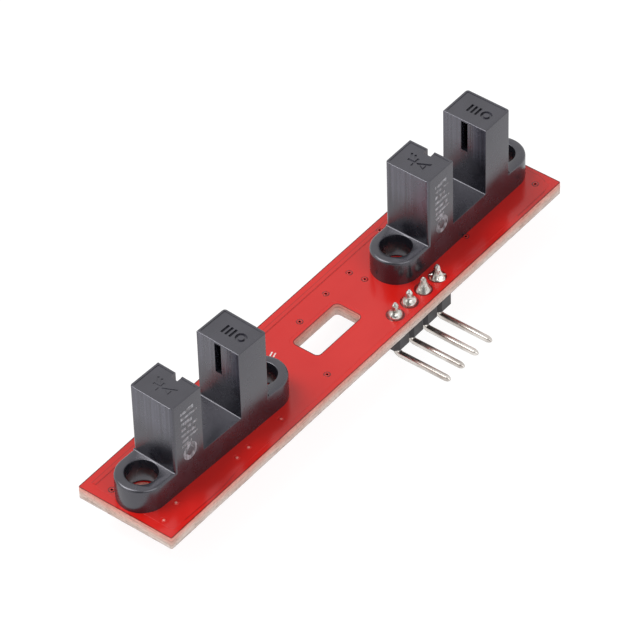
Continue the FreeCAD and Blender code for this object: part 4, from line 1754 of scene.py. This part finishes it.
@dataclass
class Studio:
    """Pale floor, soft lamps and a camera at the photograph's angle."""
    floor_level: float = -5.86
    floor_half: float = 3.0
    floor_cells: int = 12
    glow: float = 0.91
    focal_px: float = 4698.77
    frame_px: float = 640.0
    azimuth: float = -50.775
    elevation: float = 43.622
    roll: float = -1.796
    target: tuple[float, float, float] = (31.77, 0.9, 0.04)
    shift: tuple[float, float, float] = (0.2298, -0.2424, -512.2626)
    fill: float = 0.42
    dim_side: tuple[float, float, float] = (-0.6, -0.5, 0.45)
    dim_level: float = 0.25
    room: Point = (0.72, 0.9)
    lamps: tuple[Lamp, ...] = (Lamp("key", (-0.2, -0.69, 0.70), 0.7, 3.15),
                               Lamp("top", (-0.24, 0.40, 0.85), 0.55, 4.9),
                               Lamp("side", (-0.52, 0.37, 0.45), 0.35, 0.4))

    def view_axes(self) -> Matrix:
        """World directions of the camera's X, Y and Z axes, as rows."""
        a, e, r = (math.radians(v) for v in (self.azimuth, self.elevation, self.roll))
        back = Vector((math.sin(a) * math.cos(e), -math.cos(a) * math.cos(e), math.sin(e)))
        right = Vector((0, 0, 1)).cross(back).normalized()
        up = back.cross(right)
        tilted_right = math.cos(r) * right + math.sin(r) * up
        tilted_up = -math.sin(r) * right + math.cos(r) * up
        return Matrix((tilted_right, tilted_up, back))

    def camera(self) -> None:
        """Camera that shows the board as the photograph does."""
        data = bpy.data.cameras.new("view")
        data.sensor_width = 36.0
        data.sensor_fit = "HORIZONTAL"
        data.lens = self.focal_px * data.sensor_width / self.frame_px
        data.clip_start, data.clip_end = 0.01, 20.0
        turned = self.view_axes().transposed()
        place = Vector(self.target) - turned @ Vector(self.shift)
        body = linked("view", data)
        body.matrix_world = Matrix.Translation(place * MM) @ turned.to_4x4()
        bpy.context.scene.camera = body

    def seen_rays(self, tree: bpy.types.NodeTree) -> bpy.types.NodeSocket:
        """One where a ray comes from the camera, a reflection or a refraction."""
        path = add(tree, "ShaderNodeLightPath")
        first = maths(tree, "MAXIMUM", path.outputs["Is Camera Ray"], path.outputs["Is Glossy Ray"])
        return maths(tree, "MAXIMUM", first, path.outputs["Is Transmission Ray"])

    def floor(self) -> None:
        """Pale floor that shows white to the eye and keeps a soft shadow."""
        half, count, z = self.floor_half, self.floor_cells, self.floor_level * MM
        bm = bmesh.new()
        grid = [[bm.verts.new((-half + 2 * half * i / count, -half + 2 * half * j / count, z))
                 for j in range(count + 1)] for i in range(count + 1)]
        for i in range(count):
            for j in range(count):
                bm.faces.new((grid[i][j], grid[i + 1][j], grid[i + 1][j + 1], grid[i][j + 1]))
        body = outward(bm, "floor")
        made = bpy.data.materials.new("white_paper_sweep")
        made.use_nodes = True
        tree = made.node_tree
        tree.nodes.clear()
        pale = add(tree, "ShaderNodeBsdfDiffuse", values={"Color": linear("#f0f0f0")})
        glow = add(tree, "ShaderNodeEmission",
                   values={"Color": (1, 1, 1, 1), "Strength": self.glow})
        dim = add(tree, "ShaderNodeBsdfDiffuse", values={"Color": linear("#727272")})
        seen = add(tree, "ShaderNodeAddShader", links={0: glow.outputs[0], 1: dim.outputs[0]})
        mixed = add(tree, "ShaderNodeMixShader",
                    links={0: self.seen_rays(tree), 1: pale.outputs[0], 2: seen.outputs[0]})
        add(tree, "ShaderNodeOutputMaterial", links={"Surface": mixed.outputs[0]})
        body.data.materials.append(made)

    def world(self) -> None:
        """Soft light, and a white room where it is seen, dimmer at the observer's side."""
        world = bpy.data.worlds.new("studio")
        world.use_nodes = True
        tree = world.node_tree
        tree.nodes.clear()
        place = add(tree, "ShaderNodeTexCoord")
        toward = add(tree, "ShaderNodeVectorMath", {"operation": "DOT_PRODUCT"},
                     {1: tuple(Vector(self.dim_side).normalized())},
                     {0: place.outputs["Generated"]})
        room = spread(tree, toward.outputs["Value"], 1.0, self.dim_level, *self.room)
        light = add(tree, "ShaderNodeBackground",
                    values={"Color": (1, 1, 1, 1), "Strength": self.fill})
        white = add(tree, "ShaderNodeBackground", values={"Color": (1, 1, 1, 1)},
                    links={"Strength": room})
        mixed = add(tree, "ShaderNodeMixShader",
                    links={0: self.seen_rays(tree), 1: light.outputs[0], 2: white.outputs[0]})
        add(tree, "ShaderNodeOutputWorld", links={"Surface": mixed.outputs[0]})
        bpy.context.scene.world = world

    def build(self) -> None:
        """Builds the stage, lamps and camera."""
        self.floor()
        self.world()
        for lamp in self.lamps:
            lamp.hang()
        self.camera()
        bpy.context.scene.view_settings.view_transform = "Standard"


# ------------------------------------------------------------------ everything in order

def on_board(hole: Point, turn: float, x: float, y: float) -> Point:
    """Place on the board of a point drawn about a sensor's first screw hole."""
    a = math.radians(turn)
    return (hole[0] + x * math.cos(a) - y * math.sin(a),
            hole[1] + x * math.sin(a) + y * math.cos(a))


def main() -> None:
    logging.basicConfig(level=logging.INFO, format="%(name)s %(message)s")
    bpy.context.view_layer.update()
    spacing, package_centre, lead_pitch = 19.05, 5.9, 2.54
    sensors = ((1, (0.0, 0.0), -2.5), (2, (43.65, -0.25), 0.0))
    screws: list[Point] = []
    leads: dict[int, tuple[Point, ...]] = {}
    for number, hole, turn in sensors:
        screws += [on_board(hole, turn, x, 0.0) for x in (0.0, spacing)]
        leads[number] = tuple(
            on_board(hole, turn, spacing / 2 + side * package_centre, half * lead_pitch / 2)
            for side in (-1, 1) for half in (-1, 1))
    header = PinHeader()
    chips = (("emitter_resistor_1", (24.35, -2.15), 0.5, RESISTOR_GLASS, "resistor_ceramic"),
             ("output_resistor_1", (24.35, 1.65), 0.5, RESISTOR_GLASS, "resistor_ceramic"),
             ("emitter_resistor_2", (38.05, -2.15), 0.5, RESISTOR_GLASS, "resistor_ceramic"),
             ("output_resistor_2", (38.05, 1.65), 0.5, RESISTOR_GLASS, "resistor_ceramic"),
             ("supply_capacitor", (38.05, -0.25), 0.8, CAPACITOR_CERAMIC, "capacitor_ceramic"))
    CircuitBoard(screw_places=tuple(screws), lead_places=leads[1] + leads[2],
                 pin_places=header.places(), chip_places=tuple(chip[1] for chip in chips)).build()
    for number, hole, turn in sensors:
        SensorHousing(number, on_board(hole, turn, spacing / 2, 0.0), turn).build()
        SensorLeads(number, leads[number], turn).build()
    header.build()
    for name, place, thickness, finish, slot in chips:
        ChipPart(name, place, thickness, finish, slot).build()
    Studio().build()


if __name__ == "__main__":
    main()
